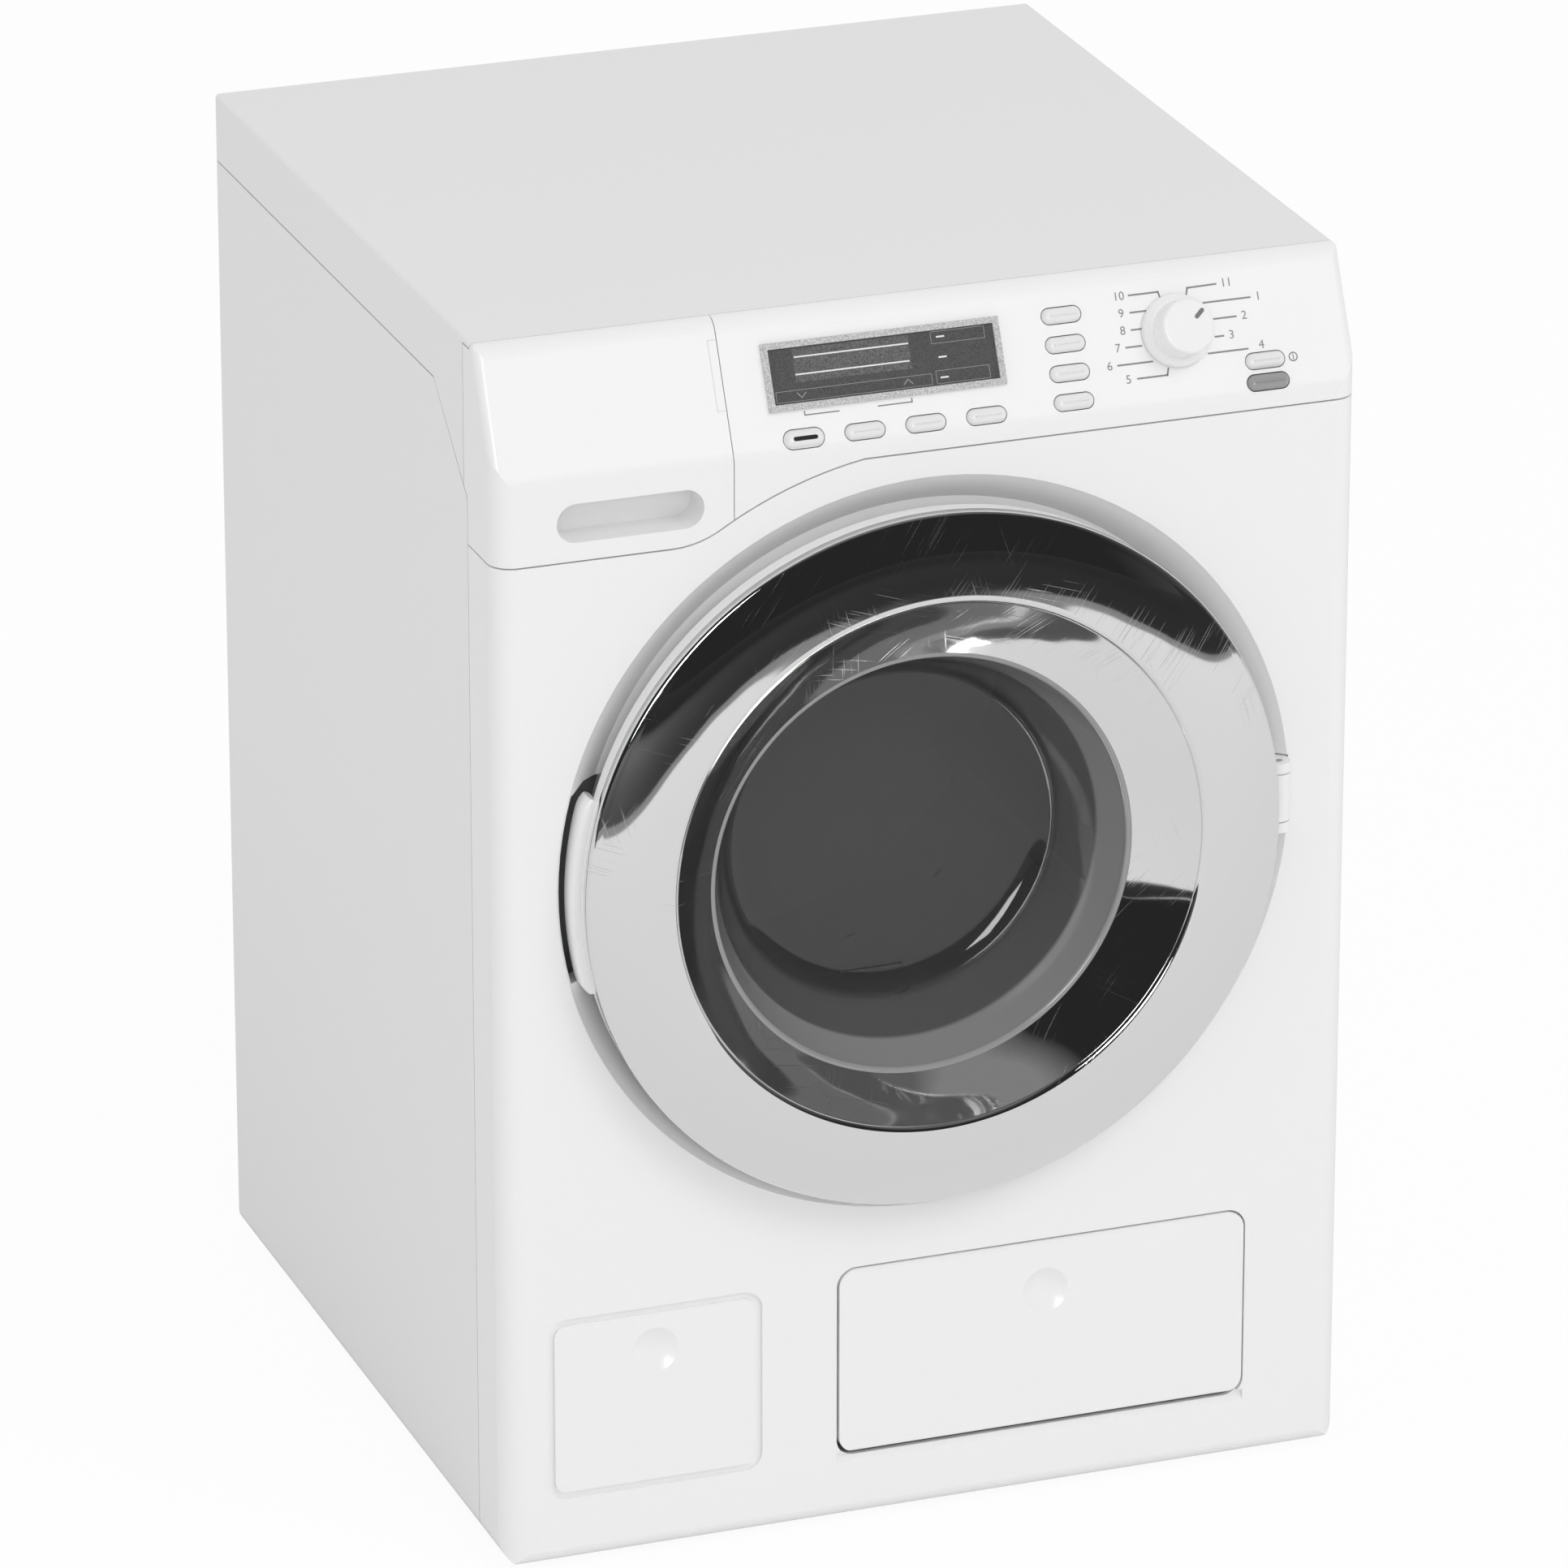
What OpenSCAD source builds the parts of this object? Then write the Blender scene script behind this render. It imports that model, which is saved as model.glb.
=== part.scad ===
// Toy front-loading washing machine. Facing it, +X is to the right, -Y is towards you and +Z is up.
// Heights are written from the lower edge of the casing. seat_on_floor() lifts the casing onto its feet
// and centres the whole toy, door ring included, over the origin.

/* [Casing] */
// Width over the side walls
cabinet_w = 185; // [160:1:225]
// Depth from the front moulding to the back wall, without the door ring
cabinet_d = 184; // [170:1:225]
// Height from the lower edge to the top
cabinet_h = 262; // [245:1:320]
// Wall thickness of the moulded shells
wall = 2.2; // [1.8:0.1:2.8]
// Gap between neighbouring mouldings
seam = 0.35; // [0.3:0.05:0.6]
// Radius of the upright front edges
edge_r = 5; // [3:0.5:8]
// Radius of the edges along the top and the back
soft_r = 1.2; // [0.6:0.1:4]
// How far the front panel wraps round the sides
wrap_d = 16.8; // [12:0.2:22]
// How far the fascia and the drawer front reach back on the sides
fascia_wrap_d = 18.8; // [16:0.2:24]
// Radius of the side edges of the sloping face
slope_edge_r = 2; // [1:0.5:4]
// Radius of the brow, where the slope turns into the top
brow_r = 4; // [1:0.5:5]
// Height of the skirt of the top cover
skirt_h = 14.4; // [8:0.2:20]
// Height of the rubber feet below the casing
foot_h = 1.2; // [0.6:0.1:4]
// Radius of the rubber feet
foot_r = 7; // [5:0.5:10]

/* [Control fascia] */
// Height of the sloping face, from the crease up to the top
slope_rise = 25.7; // [20:0.1:32]
// Lean of the sloping face from upright, in degrees
lean = 25.5; // [15:0.5:35]
// Upright band of the fascia between the crease and the seam under it, at the right
band_h = 3.2; // [2:0.1:6]
// Upright band of the drawer front between the crease and the seam under it, at the left
drawer_band_h = 17.2; // [14:0.1:24]
// Radius of the seam where it runs round the dish
seam_arc_r = 86; // [82:0.5:92]
// Radius that blends the seam from the straight into the arc
seam_blend_r = 20; // [10:1:30]
// Place of the upright seam between drawer front and fascia
drawer_seam_x = -42.2; // [-50:0.1:-30]
// Gap of that seam
drawer_gap = 0.2; // [0.15:0.05:0.5]

/* [Door] */
// Centre of the door across the front
door_x = -1.5; // [-6:0.1:6]
// Height from the centre of the door up to the crease of the fascia
door_drop = 88.9; // [80:0.1:110]
// Outer radius of the chrome ring
door_r = 75; // [70:0.5:78]
// Inner radius of the chrome ring
ring_in_r = 56.6; // [54:0.1:60]
// How far the outer edge of the ring stands in front of the casing
ring_edge_proud = 8; // [6:0.1:10]
// How far the inner edge of the ring stands in front of the casing
ring_lip_proud = 10.8; // [9:0.1:14]
// Radius of the window at its rim
window_r = 45.7; // [40:0.1:47]
// How far the window sits below the centre of the door
window_drop = 3.6; // [0:0.1:5]
// Radius of the flat bottom of the window bowl
bowl_bottom_r = 36.5; // [30:0.5:42]
// Depth of the bowl behind the front of the casing
bowl_depth = 21; // [14:0.5:24]
// Wall of the window bowl
bowl_wall = 1.6; // [1.2:0.1:2.2]

/* [Dish and doorway] */
// Centre of the dish across the front
dish_x = -0.8; // [-6:0.1:6]
// How far the centre of the dish lies above the centre of the door
dish_up = 0.8; // [0:0.1:2]
// Radius of the dish at the front face
dish_r = 78.7; // [76:0.1:82]
// Radius of the foot of the dish wall
dish_floor_r = 73.2; // [70:0.1:75]
// Depth of the dish
dish_depth = 5; // [4:0.5:6]
// Radius of the doorway in the floor of the dish
doorway_r = 61.6; // [60:0.1:63]
// Height of the finger slot at the left of the door
finger_slot_h = 42.8; // [30:0.2:50]
// How far the middle of the finger slot lies above the centre of the door
finger_slot_up = 2.4; // [-6:0.1:6]

/* [Hinge and latch] */
// Place of the hinge pin across the front
hinge_x = 75.4; // [74:0.1:77]
// How far the hinge pin stands in front of the casing
hinge_proud = 1.5; // [1:0.1:2.5]
// How far the middle of the hinge lies above the centre of the door
hinge_up = 1.8; // [-4:0.1:4]
// Height of the hinge block
hinge_block_h = 15.2; // [12:0.1:24]
// Thickness of the two ears that hold the pin
hinge_ear_t = 2.2; // [1.6:0.1:3]
// Radius of the knuckle
knuckle_r = 2.6; // [2.2:0.1:3]
// Radius of the steel pin
hinge_pin_r = 1; // [0.8:0.1:1.2]
// Height of the latch hook
latch_h = 7; // [5:0.5:10]

/* [Tub and drum] */
// Outer radius of the water tub
tub_r = 76; // [74:0.5:78]
// Place of the front rim of the tub behind the casing front
tub_front_depth = 12; // [11:0.5:14]
// Length of the tub
tub_len = 122; // [90:1:126]
// Radius of the drum
drum_r = 68; // [60:0.5:70]
// Radius of the mouth of the drum
drum_mouth_r = 50; // [46:0.5:54]
// Wall of the drum
drum_wall = 1.6; // [1.2:0.1:2.2]
// Radius of the holes in the drum
drum_hole_r = 2; // [1.4:0.1:2.6]
// Number of holes round the drum in one row
drum_holes = 18; // [12:3:24]
// Number of rows of holes
drum_rows = 3; // [2:1:4]
// Height of the lifters inside the drum
lifter_h = 11; // [6:0.5:15]
// Radius of the drum shaft
shaft_r = 3; // [2:0.5:4]
// Running clearance of shafts and pins, on the radius
running_gap = 0.06; // [0.04:0.01:0.1]

/* [Drive] */
// Tooth module of the gears
gear_module = 1; // [0.8:0.1:1.2]
// Teeth of the gear on the drum shaft
gear_teeth = 60; // [50:5:62]
// Teeth of the pinion on the motor
pinion_teeth = 15; // [15:1:18]
// Width of the gears
gear_w = 5; // [3:0.5:8]
// Radius of the motor can
motor_r = 12; // [10:0.5:15]
// Length of the motor can
motor_len = 26; // [20:1:30]

/* [Drawer] */
// Length of the tray behind its front
tray_len = 62; // [40:1:80]
// Height of the tray
tray_h = 20; // [14:0.5:24]
// Wall of the tray and of its housing
tray_wall = 1.5; // [1.2:0.1:2]
// How far the drawer pulls out
drawer_travel = 48; // [30:1:60]
// Length of the grip recess
grip_w = 31; // [22:0.5:36]
// Height of the grip recess
grip_h = 8.2; // [6:0.2:10]
// Depth of the grip recess
grip_d = 8; // [5:0.5:10]
// Centre of the grip recess across the front
grip_x = -64; // [-68:0.5:-60]
// Height of the centre of the grip recess above the seam
grip_up = 8.1; // [6:0.1:12]

/* [Service flap] */
// Left edge of the flap
flap_x0 = -19.6; // [-25:0.1:-10]
// Width of the flap
flap_w = 89.8; // [60:0.1:92]
// Lower edge of the flap
flap_z0 = 14.9; // [14:0.1:18]
// Height of the flap
flap_h = 41.2; // [30:0.1:46]
// Thickness of the flap
flap_t = 2.4; // [1.8:0.1:3]
// Gap along the lower edge, which lets the flap swing
flap_low_gap = 1.2; // [1:0.1:3]
// Gap along the other edges of the flap
flap_gap = 0.5; // [0.4:0.1:1.2]
// Height of the hinge line above the lower edge of the flap
flap_pivot_up = 9.9; // [8:0.1:11]
// Depth of the hinge line behind the front
flap_pivot_in = 4; // [3.8:0.1:5]
// Radius of the two pins on the flap
flap_pin_r = 1.4; // [1:0.1:1.8]
// Depth of the compartment behind the flap
flap_box_d = 38; // [20:1:50]
// Radius of the finger dimples
dimple_r = 5; // [3:0.5:6]
// Depth of the finger dimples
dimple_d = 1.5; // [0.8:0.1:2]

/* [Display] */
// Left edge of the display frame
display_x0 = -33.5; // [-38:0.1:-30]
// Width of the display frame
display_w = 50.6; // [40:0.1:56]
// Lower edge of the display frame, along the slope from the crease
display_v0 = 8.4; // [7.5:0.1:10]
// Height of the display frame along the slope
display_h = 13.8; // [10:0.1:16]
// How far the display frame stands proud
display_proud = 0.8; // [0.4:0.1:1.5]
// Breadth of the frame at its left and right
display_side = 1.3; // [1:0.1:3]
// Breadth of the frame along its top and bottom
display_bar = 1.3; // [1:0.1:2]

/* [Buttons] */
// Length of a button
button_w = 8.4; // [6:0.1:10]
// Breadth of a button
button_h = 3.2; // [2.4:0.1:3.8]
// Length of the start button
start_w = 8.5; // [7:0.1:10]
// Breadth of the start button
start_h = 3.8; // [3:0.1:4.4]
// How far a button stands proud
button_proud = 1.3; // [0.8:0.1:1.8]
// How far a button travels when it is pressed
button_travel = 1; // [0.6:0.1:1.2]
// Gap round a button
button_gap = 0.2; // [0.2:0.05:0.5]

/* [Programme dial] */
// Place of the dial across the fascia
dial_x = 54.8; // [48:0.1:60]
// Place of the dial along the slope from the crease
dial_v = 14.9; // [12:0.1:16]
// Radius of the foot of the dial
dial_r = 7.5; // [6:0.1:9]
// Radius of the grip of the dial
dial_grip_r = 5.8; // [4:0.1:7]
// Height of the dial above the fascia
dial_h = 7.7; // [6:0.5:11]

/* [Batteries] */
// Radius of one cell
cell_r = 7.1; // [5.2:0.1:7.1]
// Length of one cell
cell_len = 50; // [44:0.5:50.5]
// Distance between the cells
cell_pitch = 15.2; // [14.6:0.1:16]
// Number of cells
cells = 4; // [2:1:4]

/* [Hidden] */

far = 400;                               // longer than any side, for cutting tools
front_y = -cabinet_d / 2;
back_y = cabinet_d / 2;
side_x = cabinet_w / 2;
panel_back_y = front_y + wrap_d;         // where the front panel ends on the sides
cover_front_y = front_y + fascia_wrap_d; // where the top cover starts
skirt_z = cabinet_h - skirt_h;
crease_z = cabinet_h - slope_rise;
seam_high_z = crease_z - band_h;
seam_low_z = crease_z - drawer_band_h;
grip_z = seam_low_z + grip_up;
door_z = crease_z - door_drop;
dish_z = door_z + dish_up;
finger_slot_z = door_z + finger_slot_up;
hinge_z = door_z + hinge_up;
cheek_run = 20.6;                        // the slanting edge of the cheeks, along Y
cheek_drop = 18.7;                       // and its drop
cheek_z = skirt_z - cheek_drop;          // where it meets the edge of the front panel
bottom_r = 3;                            // front edge along the bottom
corner_r = 5;                            // bottom corners seen from the front
crease_r = 8;
brow_y = front_y + slope_rise * tan(lean);  // where slope and top would meet
top_seam_y = brow_y + brow_r * tan(45 - lean / 2) + 0.1;
lap_z = cabinet_h - wall / 2;            // the cover laps over the fascia above this height
slope_len = (cabinet_h - crease_z) / cos(lean);
ear_gap = 0.25;                          // play beside a hinge knuckle
plate_t = 2.4;                           // base plate
plate_gap = 0.3;
plate_z = 0.4;
screw_r = 1.5;
screw_head_r = 2.8;
screw_head_h = 1.6;

white = "#f2f2f2";
side_white = "#dcdcdc";
chrome = "#c9ccd0";
smoke = [0.28, 0.28, 0.3, 0.6];
steel = "#b4b7bb";
dark = "#35363a";
rubber = "#4a4b4e";
grey = "#8a8a8a";

// Frames of reference

module seat_on_floor() { translate([0, ring_lip_proud / 2, foot_h]) children(); }

// Local Z points out of the front of the casing, from its front face
module on_front(x, z) { translate([x, front_y, z]) rotate([90, 0, 0]) children(); }

// Local Y runs up the slope of the fascia from the crease and local Z points out of it
module on_slope(x, v) {
  translate([x, front_y, crease_z]) rotate([90 - lean, 0, 0]) translate([0, v, 0]) children();
}

module about_door() { on_front(door_x, door_z) children(); }
module about_window() { on_front(door_x, door_z - window_drop) children(); }
module about_dish() { on_front(dish_x, dish_z) children(); }

// Extrudes a side view drawn in Y and Z across the whole width
module across(x0 = -far / 2, x1 = far / 2) {
  translate([x0, 0, 0]) rotate([90, 0, 90]) linear_extrude(x1 - x0) children();
}

// Extrudes a front view drawn in X and Z from y0 back to y1
module through(y0 = -far / 2, y1 = far / 2) {
  translate([0, y1, 0]) rotate([90, 0, 0]) linear_extrude(y1 - y0) children();
}

// Outlines

// The piece outside the arc at a corner p, between the edge directions u1 and u2
module corner_off(p, u1, u2, r) {
  half = acos(u1 * u2) / 2;
  mid = (u1 + u2) / norm(u1 + u2);
  c = p + mid * r / sin(half);
  difference() {
    polygon([p - mid * 0.4, p + u1 * r / tan(half), c, p + u2 * r / tan(half)]);
    translate(c) circle(r = r, $fn = 64);
  }
}

module soft_rect(x0, y0, x1, y1, r) {
  difference() {
    polygon([[x0, y0], [x1, y0], [x1, y1], [x0, y1]]);
    corner_off([x0, y0], [1, 0], [0, 1], r);
    corner_off([x1, y0], [-1, 0], [0, 1], r);
    corner_off([x1, y1], [-1, 0], [0, -1], r);
    corner_off([x0, y1], [1, 0], [0, -1], r);
  }
}

module pill(w, h) {
  square([w - h, h], center = true);
  for (s = [-1, 1]) translate([s * (w - h) / 2, 0]) circle(d = h, $fn = 48);
}

module ring_2d(r_out, r_in) {
  difference() {
    circle(r = r_out, $fn = 96);
    circle(r = r_in, $fn = 96);
  }
}

// The three views of the casing, drawn e inside its skin

module side_view(e) {
  y0 = front_y + e;
  z1 = cabinet_h - e;
  zc = crease_z - e * tan(lean / 2);
  yt = y0 + (z1 - zc) * tan(lean);
  difference() {
    polygon([[y0, e], [back_y - e, e], [back_y - e, z1], [yt, z1], [y0, zc]]);
    corner_off([y0, e], [0, 1], [1, 0], max(bottom_r - e, 0.6));
    corner_off([y0, zc], [0, -1], [sin(lean), cos(lean)], max(crease_r - e, 1));
    corner_off([yt, z1], [1, 0], [-sin(lean), -cos(lean)], max(brow_r - e, 0.4));
  }
}

module plan_view(e) {
  x = side_x - e;
  y0 = front_y + e;
  y1 = back_y - e;
  rf = max(edge_r - e, 0.5);
  rb = max(soft_r - e, 0.4);
  difference() {
    polygon([[-x, y0], [x, y0], [x, y1], [-x, y1]]);
    corner_off([-x, y0], [1, 0], [0, 1], rf);
    corner_off([x, y0], [-1, 0], [0, 1], rf);
    corner_off([-x, y1], [1, 0], [0, -1], rb);
    corner_off([x, y1], [-1, 0], [0, -1], rb);
  }
}

module front_view(e) {
  x = side_x - e;
  z1 = cabinet_h - e;
  rl = max(corner_r - e, 0.5);
  rt = max(soft_r - e, 0.4);
  difference() {
    polygon([[-x, e], [x, e], [x, z1], [-x, z1]]);
    corner_off([-x, e], [1, 0], [0, 1], rl);
    corner_off([x, e], [-1, 0], [0, 1], rl);
    corner_off([-x, z1], [1, 0], [0, -1], rt);
    corner_off([x, z1], [-1, 0], [0, -1], rt);
  }
}

// The view along the slope, which rounds the upright edges of the sloping face
module slope_view(e) {
  x = side_x - e;
  r = max(slope_edge_r - e, 0.4);
  difference() {
    polygon([[-x, e], [x, e], [x, 2 * far], [-x, 2 * far]]);
    corner_off([-x, e], [1, 0], [0, 1], r);
    corner_off([x, e], [-1, 0], [0, 1], r);
  }
}

module casing(e = 0) {
  intersection() {
    across() side_view(e);
    on_slope(0, 0) rotate([-90, 0, 0]) linear_extrude(2 * far, center = true) slope_view(e);
    translate([0, 0, -far / 2]) linear_extrude(2 * far) plan_view(e);
    through() front_view(e);
  }
}

module casing_walls() {
  difference() {
    casing();
    casing(wall);
  }
}

// The casing split into its mouldings. g moves an edge by half a seam.

// Side view of what lies behind the front panel and below the top cover
module below_cover(g) {
  y0 = panel_back_y - g;
  polygon([
    [y0, -1], [far, -1], [far, skirt_z + g], [panel_back_y + cheek_run, skirt_z + g],
    [y0, cheek_z + g]
  ]);
}

// Side view of what lies in front of the top cover and the side walls
module before_cover(g) {
  rise = cheek_drop / cheek_run;
  corner_z = cheek_z + (cover_front_y - panel_back_y) * rise;
  polygon([
    [-far, -1], [panel_back_y + g, -1], [panel_back_y + g, cheek_z - g],
    [cover_front_y + g, corner_z - g], [cover_front_y + g, lap_z + g],
    [top_seam_y + g, lap_z + g], [top_seam_y + g, far], [-far, far]
  ]);
}

// Front view of what lies under the fascia and the drawer front: a low straight at the left, an arc
// round the dish, and a high straight at the right
module below_seam(g) {
  // the two arcs cross a hair before they would touch, so that the outline has one clear corner
  reach = seam_arc_r + seam_blend_r - 0.02;
  blend_x = dish_x - sqrt(pow(reach, 2) - pow(seam_low_z + seam_blend_r - dish_z, 2));
  blend_c = [blend_x, seam_low_z + seam_blend_r];
  dish_c = [dish_x, dish_z];
  touch = dish_c + (blend_c - dish_c) * seam_arc_r / (seam_arc_r + seam_blend_r);
  difference() {
    union() {
      translate([-far / 2, -1]) square([far, seam_low_z + g + 1]);
      translate([dish_x, -1]) square([far / 2, seam_high_z + g + 1]);
      translate(dish_c) circle(r = seam_arc_r + g, $fn = 96);
      difference() {
        polygon([[blend_x, seam_low_z - 2], [blend_x, blend_c[1]], touch, dish_c]);
        translate(blend_c) circle(r = seam_blend_r - g, $fn = 96);
      }
    }
    translate([-far / 2, seam_high_z + g]) square([far, far]);
  }
}

half = seam / 2;

// Casing

module cabinet_shell() {
  lip_t = 1.2;
  lip_up = 5;
  color(side_white) seat_on_floor() {
    difference() {
      union() {
        intersection() {
          casing_walls();
          across() below_cover(-half);
        }
        // the lip that the skirt of the top cover slides over
        intersection() {
          translate([0, 0, skirt_z - 8]) linear_extrude(8 - half) difference() {
            plan_view(wall - 0.4);
            plan_view(wall + lip_t);
          }
          translate([-far / 2, panel_back_y + cheek_run, 0]) cube(far);
        }
        intersection() {
          translate([0, 0, skirt_z - 2]) linear_extrude(2 + lip_up) difference() {
            plan_view(wall + 0.25);
            plan_view(wall + lip_t);
          }
          translate([-far / 2, panel_back_y + cheek_run, 0]) cube(far);
        }
        for (s = [-1, 1]) base_boss(s * base_boss_x, base_boss_back_y);
      }
      // the floor is a separate plate
      translate([0, 0, -1]) linear_extrude(plate_z + plate_t + plate_gap + 1) plan_view(wall);
      battery_opening();
      for (s = [-1, 1]) translate([s * base_boss_x, base_boss_back_y, 0]) screw_hole(9);
    }
  }
}

base_boss_x = side_x - wall - 5;
base_boss_back_y = back_y - wall - 5;
base_boss_front_y = front_y + wall + 9;
boss_r = 4;
boss_h = 12;

module base_boss(x, y) {
  translate([x, y, plate_z + plate_t + plate_gap]) {
    cylinder(r = boss_r, h = boss_h, $fn = 32);
    translate([sign(x) > 0 ? 0 : -6, -1, 0]) cube([6, 2, boss_h]);
  }
}

module screw_hole(depth) {
  cylinder(r = screw_r - 0.1, h = depth, $fn = 24);
}

module base_plate() {
  color(side_white) seat_on_floor() difference() {
    union() {
      translate([0, 0, plate_z]) linear_extrude(plate_t) difference() {
        plan_view(wall + plate_gap);
        // the front panel has its own floor strip
        translate([-far / 2, -far]) square([far, far + panel_back_y + plate_gap]);
      }
      // stiffening ribs between the drain and the speaker
      for (s = [-1, 1]) translate([s * base_rib_x - 1, leg_y[0] + leg_len + 4, plate_z + plate_t - 0.3])
        cube([2, leg_y[1] - leg_y[0] - leg_len - 8, 6]);
      translate([speaker_x, speaker_y, plate_z + plate_t - 0.3])
        linear_extrude(5) ring_2d(speaker_r + 2.4, speaker_r + 0.4);
    }
    for (s = [-1, 1]) translate([s * base_boss_x, base_boss_back_y, -1]) {
      cylinder(r = screw_r + 0.3, h = 9, $fn = 24);
      cylinder(r = screw_head_r + 0.2, h = 1 + screw_seat_z, $fn = 32);
    }
    for (i = [-2:2]) translate([speaker_x + i * 6, speaker_y, 0])
      translate([-1.2, -12, -1]) cube([2.4, 24, 6]);
    translate([door_x, drain_y, -1]) cylinder(r = drain_r - 1.2, h = 6, $fn = 32);
  }
}

screw_seat_z = 0.9;                      // depth at which the heads of the base screws seat
base_rib_x = 22;
leg_x = 46;                              // legs of the tub, to each side of its axis
leg_len = 12;
leg_y = [front_y + tub_front_depth + 34, front_y + tub_front_depth + tub_len - 22];
speaker_x = 50;
speaker_y = (leg_y[0] + leg_y[1] + leg_len) / 2;
speaker_r = 19;

module speaker() {
  color(dark) seat_on_floor() translate([speaker_x, speaker_y, plate_z + plate_t]) {
    difference() {
      union() {
        cylinder(r = speaker_r, h = 3, $fn = 64);
        translate([0, 0, 2.5]) cylinder(r1 = speaker_r - 3, r2 = 9, h = 4, $fn = 64);
        translate([0, 0, 6]) cylinder(r = 9, h = 5, $fn = 48);
      }
      translate([0, 0, -1]) cylinder(r1 = speaker_r - 2, r2 = 8, h = 3.6, $fn = 64);
    }
  }
}

module feet() {
  color(rubber) seat_on_floor()
    for (x = [-1, 1], y = [-1, 1]) foot(x * (side_x - 21), y * (cabinet_d / 2 - 13));
}

module foot(x, y) {
  translate([x, y, -foot_h]) {
    cylinder(r = foot_r, h = foot_h + foot_seat_z(y), $fn = 48);
  }
}

// The front feet stand under the floor strip of the front panel, the back ones under the plate
function foot_seat_z(y) = y < 0 ? 0 : plate_z;

module top_cover() {
  rib_h = 5;
  rib_y = [housing_back_y + 6, back_y - 44];
  color(side_white) seat_on_floor() {
    intersection() {
      casing_walls();
      difference() {
        across() difference() {
          translate([top_seam_y + half, 0]) square([far, far]);
          translate([-far, -far + lap_z + half]) square([cover_front_y + half + far, far]);
        }
        across() below_cover(half);
      }
    }
    for (s = [-1, 1]) translate([s * 30 - 0.8, cover_front_y + 14, cabinet_h - wall - rib_h])
      cube([1.6, cabinet_d - fascia_wrap_d - 22, rib_h + 0.4]);
    for (y = rib_y) translate([-side_x + 8, y, cabinet_h - wall - rib_h])
      cube([cabinet_w - 16, 1.6, rib_h + 0.4]);
  }
}

// Front panel with the dish round the door

module front_panel() {
  back = dish_depth + wall;
  color(white) seat_on_floor() difference() {
    union() {
      intersection() {
        casing_walls();
        translate([-far / 2, -far, -1]) cube([far, far + panel_back_y - half, far]);
        through() below_seam(-half);
      }
      about_dish() rotate_extrude($fn = 128)
        polygon([[50, -1.2], [dish_r + 2.2, -1.2], [dish_r + 2.2, -3], [dish_floor_r + 2.6, -back],
                 [50, -back]]);
      about_door() rotate_extrude($fn = 128)
        translate([doorway_r - 1, -tub_front_depth]) square([3, tub_front_depth - dish_depth - 0.5]);
      for (s = [-1, 1]) base_boss(s * base_boss_x, base_boss_front_y);
    }
    about_dish() rotate_extrude($fn = 128)
      polygon([[0, 1], [dish_r + 0.7, 1], [dish_r + 0.7, 0.01], [dish_r, -0.6],
               [dish_floor_r, -dish_depth], [0, -dish_depth]]);
    about_door() translate([0, 0, -tub_front_depth - 1]) cylinder(r = doorway_r, h = far, $fn = 128);
    finger_slot();
    on_front(0, hinge_z) translate([hinge_x - knuckle_r - 0.35, -hinge_block_h / 2 - 0.3, -back - 1])
      cube([2 * knuckle_r + 0.7, hinge_block_h + 0.6, back + 2]);
    latch_slot();
    flap_opening();
    moulded_flap();
    for (s = [-1, 1]) translate([s * base_boss_x, base_boss_front_y, 0]) screw_hole(9);
    for (s = [-1, 1]) translate([s * base_boss_x, base_boss_front_y, -1])
      cylinder(r = screw_head_r + 0.2, h = 1 + screw_seat_z, $fn = 32);
  }
}

module finger_slot() {
  slot_in = dish_floor_r - 1.6;
  intersection() {
    about_dish() translate([0, 0, -dish_depth - 8])
      linear_extrude(dish_depth + 9) ring_2d(dish_r + 0.2, slot_in);
    on_front(0, finger_slot_z) translate([-side_x, 0, -30]) linear_extrude(40) polygon([
      [0, -finger_slot_h / 2], [26, -finger_slot_h / 2], [26, finger_slot_h / 2],
      [19, finger_slot_h / 2], [16.2, finger_slot_h / 2 - 2], [0, finger_slot_h / 2 - 6]
    ]);
  }
}

latch_r = doorway_r + 5.6;               // the latch hook's distance from the door axis

module latch_slot() {
  about_door() translate([-latch_r - 2.2, hinge_z - door_z - latch_h / 2 - 0.6, -dish_depth - 5])
    cube([4.4, latch_h + 1.2, 8]);
}

module flap_opening() {
  through(front_y - 5, front_y + wall + 1)
    soft_rect(flap_x0 - flap_gap, flap_z0 - flap_low_gap, flap_x0 + flap_w + flap_gap,
              flap_z0 + flap_h + flap_gap, 4.2);
  // the lower edge is bevelled
  across(flap_x0 - flap_gap, flap_x0 + flap_w + flap_gap) polygon([
    [front_y - 1, flap_z0 - flap_low_gap - 2.4], [front_y + 1, flap_z0 - flap_low_gap],
    [front_y + 1, flap_z0], [front_y - 1, flap_z0]
  ]);
}

// The smaller flap at the left is only a groove in the panel
module moulded_flap() {
  groove_w = 1.5;
  groove_d = 0.7;
  x0 = -83;
  x1 = -36.4;
  z0 = 14.2;
  z1 = 54.6;
  through(front_y - 1, front_y + groove_d) difference() {
    soft_rect(x0, z0, x1, z1, 4);
    soft_rect(x0 + groove_w, z0 + groove_w, x1 - groove_w, z1 - groove_w, 2.6);
  }
  dimple((x0 + x1) / 2, z1 - 9.8, 0);
}

module dimple(x, z, proud) {
  ball_r = (dimple_r * dimple_r + dimple_d * dimple_d) / (2 * dimple_d);
  on_front(x, z) translate([0, 0, ball_r - dimple_d + proud]) sphere(r = ball_r, $fn = 96);
}

// Fascia with the display, buttons and dial

module upper_front() {
  difference() {
    intersection() {
      casing_walls();
      across() before_cover(-half);
    }
    through() below_seam(half);
    // the inside of the mouldings is open at the back and below
    casing(wall);
  }
}

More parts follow.
